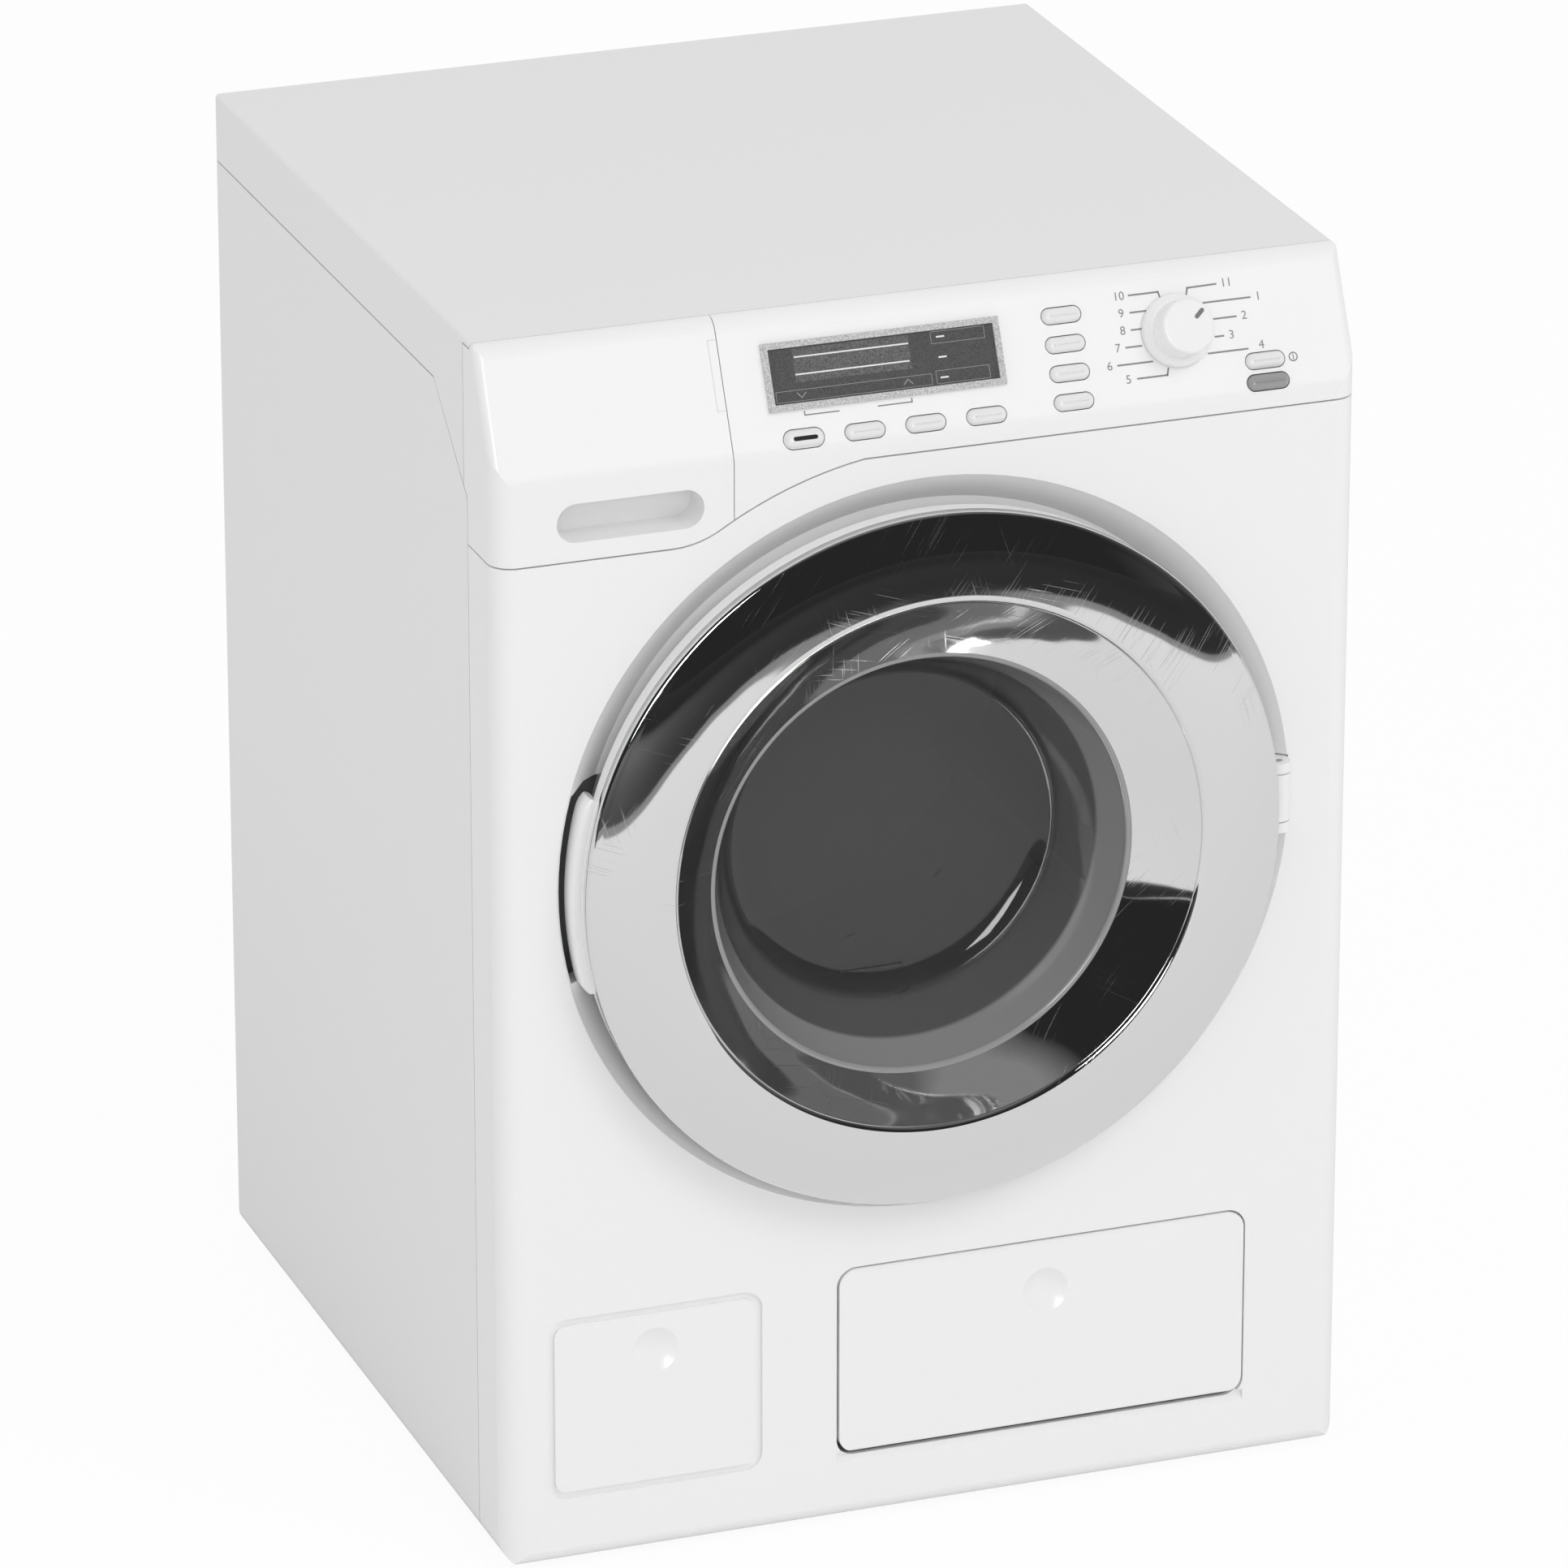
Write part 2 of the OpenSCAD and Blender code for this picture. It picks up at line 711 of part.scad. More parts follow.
module control_fascia() {
  color(white) seat_on_floor() difference() {
    union() {
      intersection() {
        upper_front();
        translate([drawer_seam_x + drawer_gap / 2, -far / 2, 0]) cube([far, far, far]);
      }
      // posts for the circuit board
      for (p = board_posts) on_slope(p[0], p[1]) translate([0, 0, -board_depth])
        cylinder(r = 2, h = board_depth - wall + 0.6, $fn = 24);
    }
    on_slope(display_x0 + display_w / 2, display_v0 + display_h / 2) translate([0, 0, -5])
      linear_extrude(10) square([display_w - 1.6, display_h - 1.2], center = true);
    for (b = button_list) button_hole(b);
    on_slope(dial_x, dial_v) translate([0, 0, -6]) cylinder(r = 3.2, h = 12, $fn = 32);
  }
}

board_depth = 9;
board_t = 1.6;
board_x0 = -37;
board_x1 = 84;
board_v0 = -1;
board_v1 = slope_len - 3;
board_posts = [[board_x0 + 3, board_v1 - 2], [21.8, board_v1 - 2], [board_x1 - 3.7, board_v1 - 2],
               [board_x1 - 4, 2]];

module circuit_board() {
  color("#2f6b3c") seat_on_floor() difference() {
    union() {
      on_slope(0, 0) translate([board_x0, board_v0, -board_depth - board_t])
        cube([board_x1 - board_x0, board_v1 - board_v0, board_t]);
      on_slope(-16, 14) translate([0, 0, -board_depth - board_t - 2]) cube([14, 8, 2.5]);
      on_slope(dial_x, dial_v) translate([-5, -5, -board_depth - 0.5]) cube([10, 10, 3]);
    }
    on_slope(dial_x, dial_v) translate([0, 0, -board_depth + 0.3]) cylinder(r = 2.6, h = 9, $fn = 32);
  }
}

pad_t = 0.4;
dome_h = 0.5;

// Rubber pad with one dome under each button
module button_pad() {
  color("#d9d9d9") seat_on_floor() for (b = button_list) on_slope(b[0], b[1])
    translate([0, 0, -board_depth]) {
      linear_extrude(pad_t) square([button_w + 1, button_h + 0.9], center = true);
      translate([0, 0, pad_t - 0.1]) cylinder(r1 = 2, r2 = 1.2, h = dome_h + 0.1, $fn = 32);
    }
}

// Every button: its place across, its place up the slope, its length and its breadth
row_v = 2.6;
row_pitch = 12.98;
start_x = -27.05;
column_x = 30.8;
column_v = 3.2;
column_pitch = 5.87;
power_x = 72.85;
button_list = [
  [start_x, row_v, start_w, start_h],
  [start_x + row_pitch, row_v, button_w, button_h],
  [start_x + 2 * row_pitch, row_v, button_w, button_h],
  [start_x + 3 * row_pitch, row_v, button_w, button_h],
  [column_x, column_v + 3 * column_pitch, button_w, button_h],
  [column_x, column_v + 2 * column_pitch, button_w, button_h],
  [column_x, column_v + column_pitch, button_w, button_h],
  [column_x, column_v, button_w, button_h],
  [power_x, 6.8, button_w, button_h],
  [power_x, 2.4, button_w + 0.6, button_h]
];

module button_hole(b) {
  on_slope(b[0], b[1]) translate([0, 0, -6])
    linear_extrude(12) pill(b[2] + 2 * button_gap, b[3] + 2 * button_gap);
}

module push_button(b, paint, slot = false) {
  flange_t = 0.8;
  cap_r = b[3] / 2 - 0.05;
  neck = (b[2] - b[3]) / 2;
  stem_foot = -board_depth + pad_t + dome_h + 0.2 + button_travel;
  color(paint) seat_on_floor() on_slope(b[0], b[1]) difference() {
    union() {
      translate([0, 0, -wall - 1]) linear_extrude(wall + 1) pill(b[2], b[3]);
      // rounded cap
      intersection() {
        translate([0, 0, button_proud - cap_r]) rotate([0, 90, 0]) rotate_extrude($fn = 48)
          intersection() {
            union() {
              translate([0, -neck]) square([cap_r, 2 * neck]);
              for (s = [-1, 1]) translate([0, s * neck]) circle(r = cap_r, $fn = 48);
            }
            translate([0, -20]) square([20, 40]);
          }
        translate([-20, -20, -0.5]) cube(40);
      }
      // flange that keeps the button behind the fascia
      translate([0, 0, -wall - 0.3 - flange_t]) linear_extrude(flange_t)
        pill(b[2] + 1.2, b[3] + 0.7);
      translate([0, 0, stem_foot]) cylinder(r = 1.2, h = -wall - 0.5 - stem_foot, $fn = 32);
    }
    if (slot) translate([0, 0, button_proud - 0.5]) linear_extrude(2) pill(5.2, 0.9);
  }
}

module start_button() { push_button(button_list[0], white, true); }
module fill_button() { push_button(button_list[1], white); }
module wash_button() { push_button(button_list[2], white); }
module drain_button() { push_button(button_list[3], white); }
module option_button_1() { push_button(button_list[4], white); }
module option_button_2() { push_button(button_list[5], white); }
module option_button_3() { push_button(button_list[6], white); }
module option_button_4() { push_button(button_list[7], white); }
module power_button() { push_button(button_list[8], white); }
module door_button() { push_button(button_list[9], grey); }

module display_frame() {
  color("#c8c8c8") seat_on_floor()
    on_slope(display_x0 + display_w / 2, display_v0 + display_h / 2) difference() {
      union() {
        translate([0, 0, 0]) linear_extrude(display_proud) square([display_w, display_h], center = true);
        translate([0, 0, -wall]) linear_extrude(wall + 0.2)
          square([display_w - 2, display_h - 1.6], center = true);
      }
      translate([0, 0, -wall - 1]) linear_extrude(wall + 4)
        square([display_w - 2 * display_side, display_h - 2 * display_bar], center = true);
    }
}

module display_window() {
  color("#505050") seat_on_floor()
    on_slope(display_x0 + display_w / 2, display_v0 + display_h / 2) {
      translate([0, 0, -wall + 0.2]) linear_extrude(wall - 0.2 + display_proud - 0.5)
        square([display_w - 2 * display_side - 0.1, display_h - 2 * display_bar - 0.1], center = true);
      translate([0, 0, -wall - 0.8]) linear_extrude(0.8)
        square([display_w - 2.4, display_h - 2], center = true);
    }
}

// Programme dial, which turns on a stem that goes into its switch on the board

module program_knob() {
  top_r = 0.7;
  foot_rise = 2.3;
  color(white) seat_on_floor() on_slope(dial_x, dial_v) difference() {
    union() {
      translate([0, 0, 0.3]) rotate_extrude($fn = 96) difference() {
        polygon([[0, 0], [dial_r, 0], [dial_r - 0.15, 1], [dial_grip_r + 0.6, foot_rise],
                 [dial_grip_r, foot_rise], [dial_grip_r - 0.3, dial_h - 0.3],
                 [0, dial_h - 0.3]]);
        corner_off([dial_grip_r - 0.3, dial_h - 0.3], [-1, 0], [0.058, -0.998], top_r);
      }
      translate([0, 0, -board_depth + 0.6]) cylinder(r = 2.5, h = board_depth, $fn = 32);
    }
    rotate([0, 0, dial_mark_turn]) translate([3.4, 0, dial_h - 0.4]) linear_extrude(1) pill(2.6, 0.9);
  }
}

dial_mark_turn = 42;

module knob_pointer() {
  color("#777777") seat_on_floor() on_slope(dial_x, dial_v) rotate([0, 0, dial_mark_turn])
    translate([3.4, 0, dial_h - 0.4]) linear_extrude(0.45) pill(2.6, 0.9);
}

// Detergent drawer

tray_x0 = -side_x + wall + 4.2;
tray_x1 = drawer_seam_x - 4.6;
tray_z0 = seam_low_z + 3.6;
tray_y0 = front_y + grip_d + 3.6;

module drawer_front() {
  boss_grow = 2;
  color(white) seat_on_floor() difference() {
    union() {
      intersection() {
        upper_front();
        translate([-far + drawer_seam_x - drawer_gap / 2, -far / 2, 0]) cube([far, far, far]);
      }
      // walls of the grip recess
      on_front(grip_x, grip_z) translate([0, 0, -grip_d - 1.6])
        linear_extrude(grip_d + 0.8) pill(grip_w + 2 * boss_grow, grip_h + 2 * boss_grow);
      // two arms that hold the tray
      for (x = [tray_x0, tray_x1 - 2.4]) translate([x, front_y + wall - 0.4, tray_z0 + 3])
        cube([2.4, tray_y0 - front_y - wall + 0.4, 9]);
    }
    on_front(grip_x, grip_z) translate([0, 0, -grip_d]) linear_extrude(grip_d + 5) pill(grip_w, grip_h);
  }
}

module drawer_tray() {
  w = tray_x1 - tray_x0;
  split = w * 0.56;
  color(white) seat_on_floor() translate([tray_x0, tray_y0, tray_z0]) difference() {
    cube([w, tray_len, tray_h]);
    translate([tray_wall, tray_wall, tray_wall])
      cube([split - 1.5 * tray_wall, tray_len - 2 * tray_wall, tray_h]);
    translate([split + tray_wall / 2, tray_wall, tray_wall])
      cube([w - split - 1.5 * tray_wall, tray_len - 2 * tray_wall, tray_h]);
    // outlet into the fill spout
    translate([split / 2, tray_len - 12, -1]) cylinder(r = 4, h = 5, $fn = 32);
    translate([split + (w - split) / 2, tray_len - 12, -1]) cylinder(r = 3, h = 5, $fn = 32);
  }
}

housing_gap = 0.4;
housing_y0 = tray_y0 + 7;
housing_len = tray_len + 4;
housing_back_y = housing_y0 + housing_len;

// The slide housing hangs from the fascia side and carries the tray
module drawer_housing() {
  x0 = tray_x0 - housing_gap - tray_wall;
  x1 = tray_x1 + housing_gap + tray_wall;
  y0 = housing_y0;
  len = housing_len;
  z0 = tray_z0 - housing_gap - tray_wall;
  hgt = tray_h + 6;
  hang = cabinet_h - wall - z0 - hgt + 1 - 0.1;
  color(side_white) seat_on_floor() difference() {
    union() {
      translate([x0, y0, z0]) cube([x1 - x0, len, hgt]);
      // hangers up to the underside of the top cover
      for (y = [y0 + 10, y0 + len - 14]) {
        translate([x0, y, z0 + hgt - 1]) cube([tray_wall, 8, hang]);
        translate([x1 - tray_wall, y, z0 + hgt - 1]) cube([tray_wall, 8, hang]);
      }
    }
    translate([x0 + tray_wall, y0 - 1, z0 + tray_wall])
      cube([x1 - x0 - 2 * tray_wall, len + 1 - tray_wall, hgt]);
    translate([spout_x, spout_y, z0 - 1]) cylinder(r = spout_r - 1.2, h = 6, $fn = 32);
  }
}

spout_r = 6;
spout_x = tray_x1 - spout_r - 3;
spout_y = tray_y0 + tray_len - 11;

// Carries the water from the housing into the tub
module fill_spout() {
  top_z = tray_z0 - housing_gap - tray_wall - 0.1;
  low_z = door_z + 20;
  color(side_white) seat_on_floor() difference() {
    translate([spout_x, spout_y, 0]) {
      translate([0, 0, low_z]) cylinder(r = spout_r, h = top_z - low_z, $fn = 48);
      translate([0, 0, top_z - 2]) cylinder(r = spout_r + 3, h = 2, $fn = 48);
    }
    translate([spout_x, spout_y, low_z - 1]) cylinder(r = spout_r - 1.2, h = far, $fn = 48);
    // its foot is a saddle that sits on the tub
    about_axis() translate([0, 0, tub_front_depth]) cylinder(r = tub_r + 0.1, h = tub_len, $fn = 128);
  }
}

// Door

module door_bezel() {
  t = 1.2;
  edge = ring_edge_proud;
  lip = ring_lip_proud;
  bulge = 1.1;
  steps = 10;
  // the face of the ring is a shallow arch between its outer edge and its lip
  face = [for (i = [0:steps]) let (s = i / steps) [
    door_r - 0.5 + (ring_in_r + 1.2 - door_r + 0.5) * s,
    edge + (lip - edge) * s + bulge * sin(180 * s) - 0.2 * (1 - s)
  ]];
  under = [for (i = [steps:-1:0]) [face[i][0] - 0.3 * (1 - i / steps), face[i][1] - t]];
  color(chrome) seat_on_floor() about_door() rotate_extrude($fn = 128) polygon(concat(
    [[door_r - 1.2, 5.4], [door_r, 5.4], [door_r, edge - 0.9]],
    face,
    [[ring_in_r + 0.4, lip - 0.4], [ring_in_r, lip - 1.2], [ring_in_r, lip - 2.4],
     [ring_in_r + 1.1, lip - 2.4]],
    under
  ));
}

// The cone between the ring and the window leans, because the window sits lower than the ring
module door_inner_ring() {
  t = 1.2;
  top = ring_lip_proud - 1.5;
  foot = -0.5;
  color(chrome) seat_on_floor() about_door() difference() {
    hull() {
      translate([0, 0, top - 0.1]) cylinder(r = ring_in_r - 0.1, h = 0.1, $fn = 96);
      translate([0, -window_drop, foot]) cylinder(r = window_r + t, h = 0.1, $fn = 96);
    }
    hull() {
      translate([0, 0, top]) cylinder(r = ring_in_r - 1.1, h = 0.5, $fn = 96);
      translate([0, -window_drop, foot - 0.2]) cylinder(r = window_r, h = 0.1, $fn = 96);
    }
  }
}

flange_top = -0.6;                       // the rim of the bowl lies behind the inner ring

module door_window() {
  rim_t = 1.4;
  slant = (window_r - 0.6 - bowl_bottom_r) / (bowl_depth - 2.6);
  color(smoke) seat_on_floor() about_window() rotate_extrude($fn = 128) difference() {
    union() {
      translate([0, flange_top - rim_t]) square([window_r + 3, rim_t]);
      polygon([[0, -bowl_depth], [bowl_bottom_r, -bowl_depth], [bowl_bottom_r + 2.4, -bowl_depth + 2.6],
               [window_r - 0.4 + bowl_wall * 0.2, flange_top - rim_t + 0.1], [0, flange_top - rim_t + 0.1]]);
    }
    polygon([[-1, 5], [window_r - 0.4 - bowl_wall, 5], [window_r - 0.4 - bowl_wall, flange_top - rim_t],
             [bowl_bottom_r + 2.4 - bowl_wall, -bowl_depth + 2.8 + bowl_wall * 0.3],
             [bowl_bottom_r - 0.6, -bowl_depth + bowl_wall], [-1, -bowl_depth + bowl_wall]]);
    translate([-2, -far / 2]) square([2, far]);
  }
}

back_in_r = window_r + 3 + window_drop + 0.6;

module door_back_shell() {
  rim_t = 1.6;
  plate_p = 1.8;
  step_p = -4.3;
  seat_p = flange_top - 1.4 - 0.1;
  color(white) seat_on_floor() difference() {
    union() {
      about_door() {
        // rim, plate and the collar that dips into the gasket
        rotate_extrude($fn = 128) polygon([
          [door_r - 0.4, plate_p], [door_r - 0.4, 5.2], [door_r - 0.4 - rim_t, 5.2],
          [door_r - 0.4 - rim_t, plate_p + 1.6], [back_in_r, plate_p + 1.6], [back_in_r, seat_p],
          [window_r - 2.4, seat_p], [window_r - 2.4, step_p], [back_in_r + 1.6, step_p],
          [back_in_r + 1.6, plate_p]
        ]);
        for (a = door_screw_angles) rotate([0, 0, a]) translate([door_screw_r, 0, plate_p + 1.2])
          cylinder(r = 3, h = ring_edge_proud - plate_p - 1.9, $fn = 32);
      }
      // knuckle and its arm
      translate([hinge_x, front_y - hinge_proud, hinge_z])
        cylinder(r = knuckle_r, h = hinge_block_h - 2 * hinge_ear_t - 2 * ear_gap, center = true, $fn = 48);
      translate([hinge_x - 9, front_y - 3.4, hinge_z - hinge_block_h / 2 + hinge_ear_t + ear_gap])
        cube([9, 1.9, hinge_block_h - 2 * hinge_ear_t - 2 * ear_gap]);
    }
    about_window() translate([0, 0, -far / 2]) cylinder(r = window_r - 0.1, h = far, $fn = 128);
    // room for the two ears
    for (s = [-1, 1]) translate([hinge_x, front_y - hinge_proud,
      hinge_z + s * (hinge_block_h / 2 - hinge_ear_t / 2)])
      cylinder(r = knuckle_r + 0.5, h = hinge_ear_t + 2 * ear_gap, center = true, $fn = 48);
    translate([hinge_x, front_y - hinge_proud, 0]) cylinder(r = hinge_pin_r + running_gap, h = far, $fn = 32);
    about_door() for (a = door_screw_angles) rotate([0, 0, a]) translate([door_screw_r, 0, 0])
      cylinder(r = screw_r - 0.2, h = 20, $fn = 24);
    about_door() for (a = door_screw_angles) rotate([0, 0, a]) translate([door_screw_r, 0, -5])
      cylinder(r = screw_r + 0.2, h = 5 + plate_p + 0.6, $fn = 24);
  }
}

door_screw_r = 67;
door_screw_angles = [50, 130, 230, 310];

module door_screws() {
  color(steel) seat_on_floor() about_door() for (a = door_screw_angles) rotate([0, 0, a])
    translate([door_screw_r, 0, 0]) {
      translate([0, 0, 0.4]) cylinder(r = screw_head_r - 0.2, h = 1.4, $fn = 32);
      translate([0, 0, 1.4]) cylinder(r = screw_r - 0.25, h = 5.6, $fn = 24);
    }
}

// Hook that snaps into the clip behind the dish
module door_latch_hook() {
  root_p = 1.7;
  reach = dish_depth + 6.4;
  color(white) seat_on_floor() about_door()
    translate([-latch_r, hinge_z - door_z - latch_h / 2, 0]) rotate([-90, 0, 0])
      linear_extrude(latch_h) polygon([
        [-3, -root_p], [3, -root_p], [3, -root_p + 1.4], [0.8, -root_p + 1.6], [0.8, reach - 3.4],
        [1.6, reach - 2.4], [0.6, reach], [-0.6, reach], [-0.8, reach - 3], [-0.8, -root_p + 1.6],
        [-3, -root_p + 1.4]
      ]);
}

module latch_clip() {
  back = dish_depth + wall;
  color("#dddddd") seat_on_floor() about_door()
    translate([-latch_r, hinge_z - door_z - latch_h / 2 - 2, -back]) rotate([-90, 0, 0])
      linear_extrude(latch_h + 4) polygon([
        [2.3, 0], [3.5, 0], [3.5, 4.4], [2.1, 4], [2.1, 3.2], [2.8, 2.9], [2.8, 1.2], [2.3, 1.1]
      ]);
}

module hinge_block() {
  back = dish_depth + wall;
  w = 2 * knuckle_r;
  color(white) seat_on_floor() difference() {
    union() {
      on_front(hinge_x, hinge_z) {
        translate([-knuckle_r, -hinge_block_h / 2, -back - 2]) cube([w, hinge_block_h, back + 2 + hinge_proud]);
        translate([-knuckle_r - 4, -hinge_block_h / 2 - 6, -back - 2])
          cube([w + 6, hinge_block_h + 12, 2]);
      }
      translate([hinge_x, front_y - hinge_proud, hinge_z])
        cylinder(r = knuckle_r, h = hinge_block_h, center = true, $fn = 48);
    }
    // gap for the knuckle
    on_front(hinge_x, hinge_z) {
      gap_h = hinge_block_h - 2 * hinge_ear_t;
      translate([-knuckle_r - 1, -gap_h / 2, hinge_proud - knuckle_r - 0.4]) cube([w + 2, gap_h, 20]);
    }
    translate([hinge_x, front_y - hinge_proud, 0]) cylinder(r = hinge_pin_r, h = far, $fn = 32);
  }
}

module hinge_pin() {
  color(steel) seat_on_floor() translate([hinge_x, front_y - hinge_proud, hinge_z])
    cylinder(r = hinge_pin_r, h = hinge_block_h - 0.4, center = true, $fn = 32);
}

module door_gasket() {
  in_r = back_in_r + 1.6 + 1;
  color(grey) seat_on_floor() about_door() rotate_extrude($fn = 128) polygon([
    [in_r, -tub_front_depth - 3], [doorway_r - 0.2, -tub_front_depth - 3], [doorway_r - 0.2, -dish_depth + 0.1],
    [doorway_r + 2, -dish_depth + 0.1], [doorway_r + 2, -dish_depth + 1.4], [doorway_r - 0.4, -dish_depth + 1.8],
    [in_r + 1.6, 0.4], [in_r + 0.3, 0.9], [in_r - 0.2, 0.2]
  ]);
}

// Tub and drum

module about_axis() { translate([door_x, front_y, door_z]) rotate([-90, 0, 0]) children(); }

tub_wall = 2;
tub_back = tub_front_depth + tub_len;
drum_front = tub_front_depth + 5;
drum_back = tub_back - tub_wall - 6;
drain_y = 10;
drain_r = 5;

module water_tub() {
  color("#9a9a9a") seat_on_floor() difference() {
    union() {
      about_axis() rotate_extrude($fn = 128) polygon([
        [doorway_r + 0.2, tub_front_depth], [tub_r + 2, tub_front_depth], [tub_r + 2, tub_front_depth + 2],
        [tub_r, tub_front_depth + 2], [tub_r, tub_back], [0, tub_back], [0, tub_back - tub_wall],
        [tub_r - tub_wall, tub_back - tub_wall], [tub_r - tub_wall, tub_front_depth + 2],
        [doorway_r + 0.2, tub_front_depth + 2]
      ]);
      about_axis() translate([0, 0, tub_back - 4.5]) cylinder(r = 9, h = 5.5, $fn = 48);
      // legs that stand on the base plate
      for (x = [-leg_x, leg_x], y = leg_y) translate([door_x + x - 1.5, y, plate_z + plate_t])
        cube([3, leg_len, leg_top(x) - plate_z - plate_t]);
    }
    about_axis() translate([0, 0, tub_back - 10]) cylinder(r = bushing_r, h = 20, $fn = 48);
    translate([spout_x, spout_y, door_z]) cylinder(r = spout_r - 1.2, h = 80, $fn = 48);
    translate([door_x, drain_y, door_z - tub_r - 5]) cylinder(r = drain_r + 0.1, h = 20, $fn = 48);
  }
}

function leg_top(x) = door_z - sqrt(pow(tub_r - 0.8, 2) - x * x);

bushing_r = 5.5;

module tub_bushing() {
  color("#d8cfa8") seat_on_floor() about_axis() difference() {
    union() {
      translate([0, 0, tub_back - 4.5]) cylinder(r = bushing_r, h = 5.5, $fn = 48);
      translate([0, 0, tub_back + 1]) cylinder(r = bushing_r + 1.5, h = 1, $fn = 48);
    }
    translate([0, 0, tub_back - 10]) cylinder(r = shaft_r + running_gap, h = 20, $fn = 48);
  }
}

module drum_basket() {
  rows = [for (i = [0:drum_rows - 1])
    drum_front + (drum_back - drum_front) * (0.2 + 0.6 * i / (drum_rows - 1))];
  color(steel) seat_on_floor() about_axis() difference() {
    union() {
      rotate_extrude($fn = 128) polygon([
        [drum_mouth_r, drum_front - 2], [drum_mouth_r + 1.2, drum_front - 2],
        [drum_mouth_r + 3, drum_front], [drum_r, drum_front], [drum_r, drum_back], [0, drum_back],
        [0, drum_back - drum_wall], [drum_r - drum_wall, drum_back - drum_wall],
        [drum_r - drum_wall, drum_front + drum_wall], [drum_mouth_r, drum_front + drum_wall]
      ]);
      translate([0, 0, drum_back - 8]) cylinder(r = 8, h = 7.5, $fn = 48);
    }
    translate([0, 0, drum_back - 20]) cylinder(r = shaft_r, h = 30, $fn = 48);
    for (z = rows, i = [0:drum_holes - 1]) rotate([0, 0, (i + 0.5) * 360 / drum_holes])
      translate([drum_r - 4, 0, z]) rotate([0, 90, 0]) cylinder(r = drum_hole_r, h = 8, $fn = 24);
  }
}

module drum_lifters() {
  len = drum_back - drum_front - 2 * drum_wall - 6;
  foot_in = drum_r - drum_wall - 0.15;
  color("#c8c8c8") seat_on_floor() about_axis() for (i = [0:2]) rotate([0, 0, i * 120 + 30])
    translate([0, 0, drum_front + drum_wall + 3]) linear_extrude(len) polygon([
      [sqrt(foot_in * foot_in - 49), -7], [sqrt(foot_in * foot_in - 49), 7],
      [foot_in - lifter_h * 0.6, 3.4], [foot_in - lifter_h, 1.2], [foot_in - lifter_h, -1.2],
      [foot_in - lifter_h * 0.6, -3.4]
    ]);
}

gear_z = tub_back + 4;                   // front face of the gears behind the casing front

module drum_shaft() {
  color(steel) seat_on_floor() about_axis() {
    translate([0, 0, drum_back - 8.4]) cylinder(r = shaft_r, h = gear_z + gear_w + 1.2 - drum_back + 8.4, $fn = 48);
    translate([0, 0, drum_back - 9.6]) cylinder(r = shaft_r + 1.4, h = 1.2, $fn = 48);
  }
}

// Involute gear outline

gear_pressure = 20;
gear_backlash = 0.22;
centre_play = 0.12;

function involute(rb, t) = [rb * (cos(t) + t * PI / 180 * sin(t)), rb * (sin(t) - t * PI / 180 * cos(t))];
function roll_to(rb, r) = sqrt(max(r * r / (rb * rb) - 1, 0)) * 180 / PI;
function polar(r, a) = [r * cos(a), r * sin(a)];

module gear_outline(teeth, m, tip_cut) {
  pr = m * teeth / 2;
  rb = pr * cos(gear_pressure);
  ra = pr + m * (1 - tip_cut);
  rf = pr - 1.25 * m;
  r0 = max(rb, rf + 0.05);
  t_pitch = roll_to(rb, pr);
  a_pitch = atan2(involute(rb, t_pitch)[1], involute(rb, t_pitch)[0]);
  half_tooth = 90 / teeth - gear_backlash / 2 / pr * 180 / PI + a_pitch;
  t0 = roll_to(rb, r0);
  t1 = roll_to(rb, ra);
  flank = [for (k = [0:3]) let (p = involute(rb, t0 + (t1 - t0) * k / 3))
    [norm(p), atan2(p[1], p[0]) - half_tooth]];
  polygon([for (i = [0:teeth - 1]) let (a = i * 360 / teeth) each concat(
    [polar(rf, a + flank[0][1] - 0.6 * m / pr)],
    [for (f = flank) polar(f[0], a + f[1])],
    [for (k = [3:-1:0]) polar(flank[k][0], a - flank[k][1])],
    [polar(rf, a - flank[0][1] + 0.6 * m / pr)]
  )]);
}

gear_distance = gear_module * (gear_teeth + pinion_teeth) / 2 + centre_play;
pinion_angle = 135;                      // seen from the front, down to the left

module drum_gear() {
  color("#e8e4d8") seat_on_floor() about_axis() translate([0, 0, gear_z]) difference() {
    union() {
      rotate([0, 0, pinion_angle]) linear_extrude(gear_w) gear_outline(gear_teeth, gear_module, 0.1);
      translate([0, 0, -0.9]) cylinder(r = 6, h = 1.4, $fn = 48);
    }
    translate([0, 0, -5]) cylinder(r = shaft_r, h = 20, $fn = 48);
    translate([0, 0, gear_w / 2 + 0.8]) linear_extrude(gear_w)
      ring_2d(gear_module * gear_teeth / 2 - 4, 8);
    for (i = [0:4]) rotate([0, 0, i * 72 + 36]) translate([17, 0, -1]) cylinder(r = 4.5, h = 10, $fn = 32);
  }
}

module about_pinion() {
  about_axis() rotate([0, 0, pinion_angle]) translate([gear_distance, 0, 0]) children();
}

module motor_pinion() {
  color("#e8e4d8") seat_on_floor() about_pinion() {
    translate([0, 0, gear_z - 0.5]) linear_extrude(gear_w + 1) rotate([0, 0, 180 + 180 / pinion_teeth])
      gear_outline(pinion_teeth, gear_module, 0.1);
    translate([0, 0, gear_z + gear_w]) cylinder(r = pinion_shaft_r, h = 8.5, $fn = 32);
  }
}

pinion_shaft_r = 1.5;
bracket_z = gear_z + gear_w + 2.5;
bracket_t = 2;

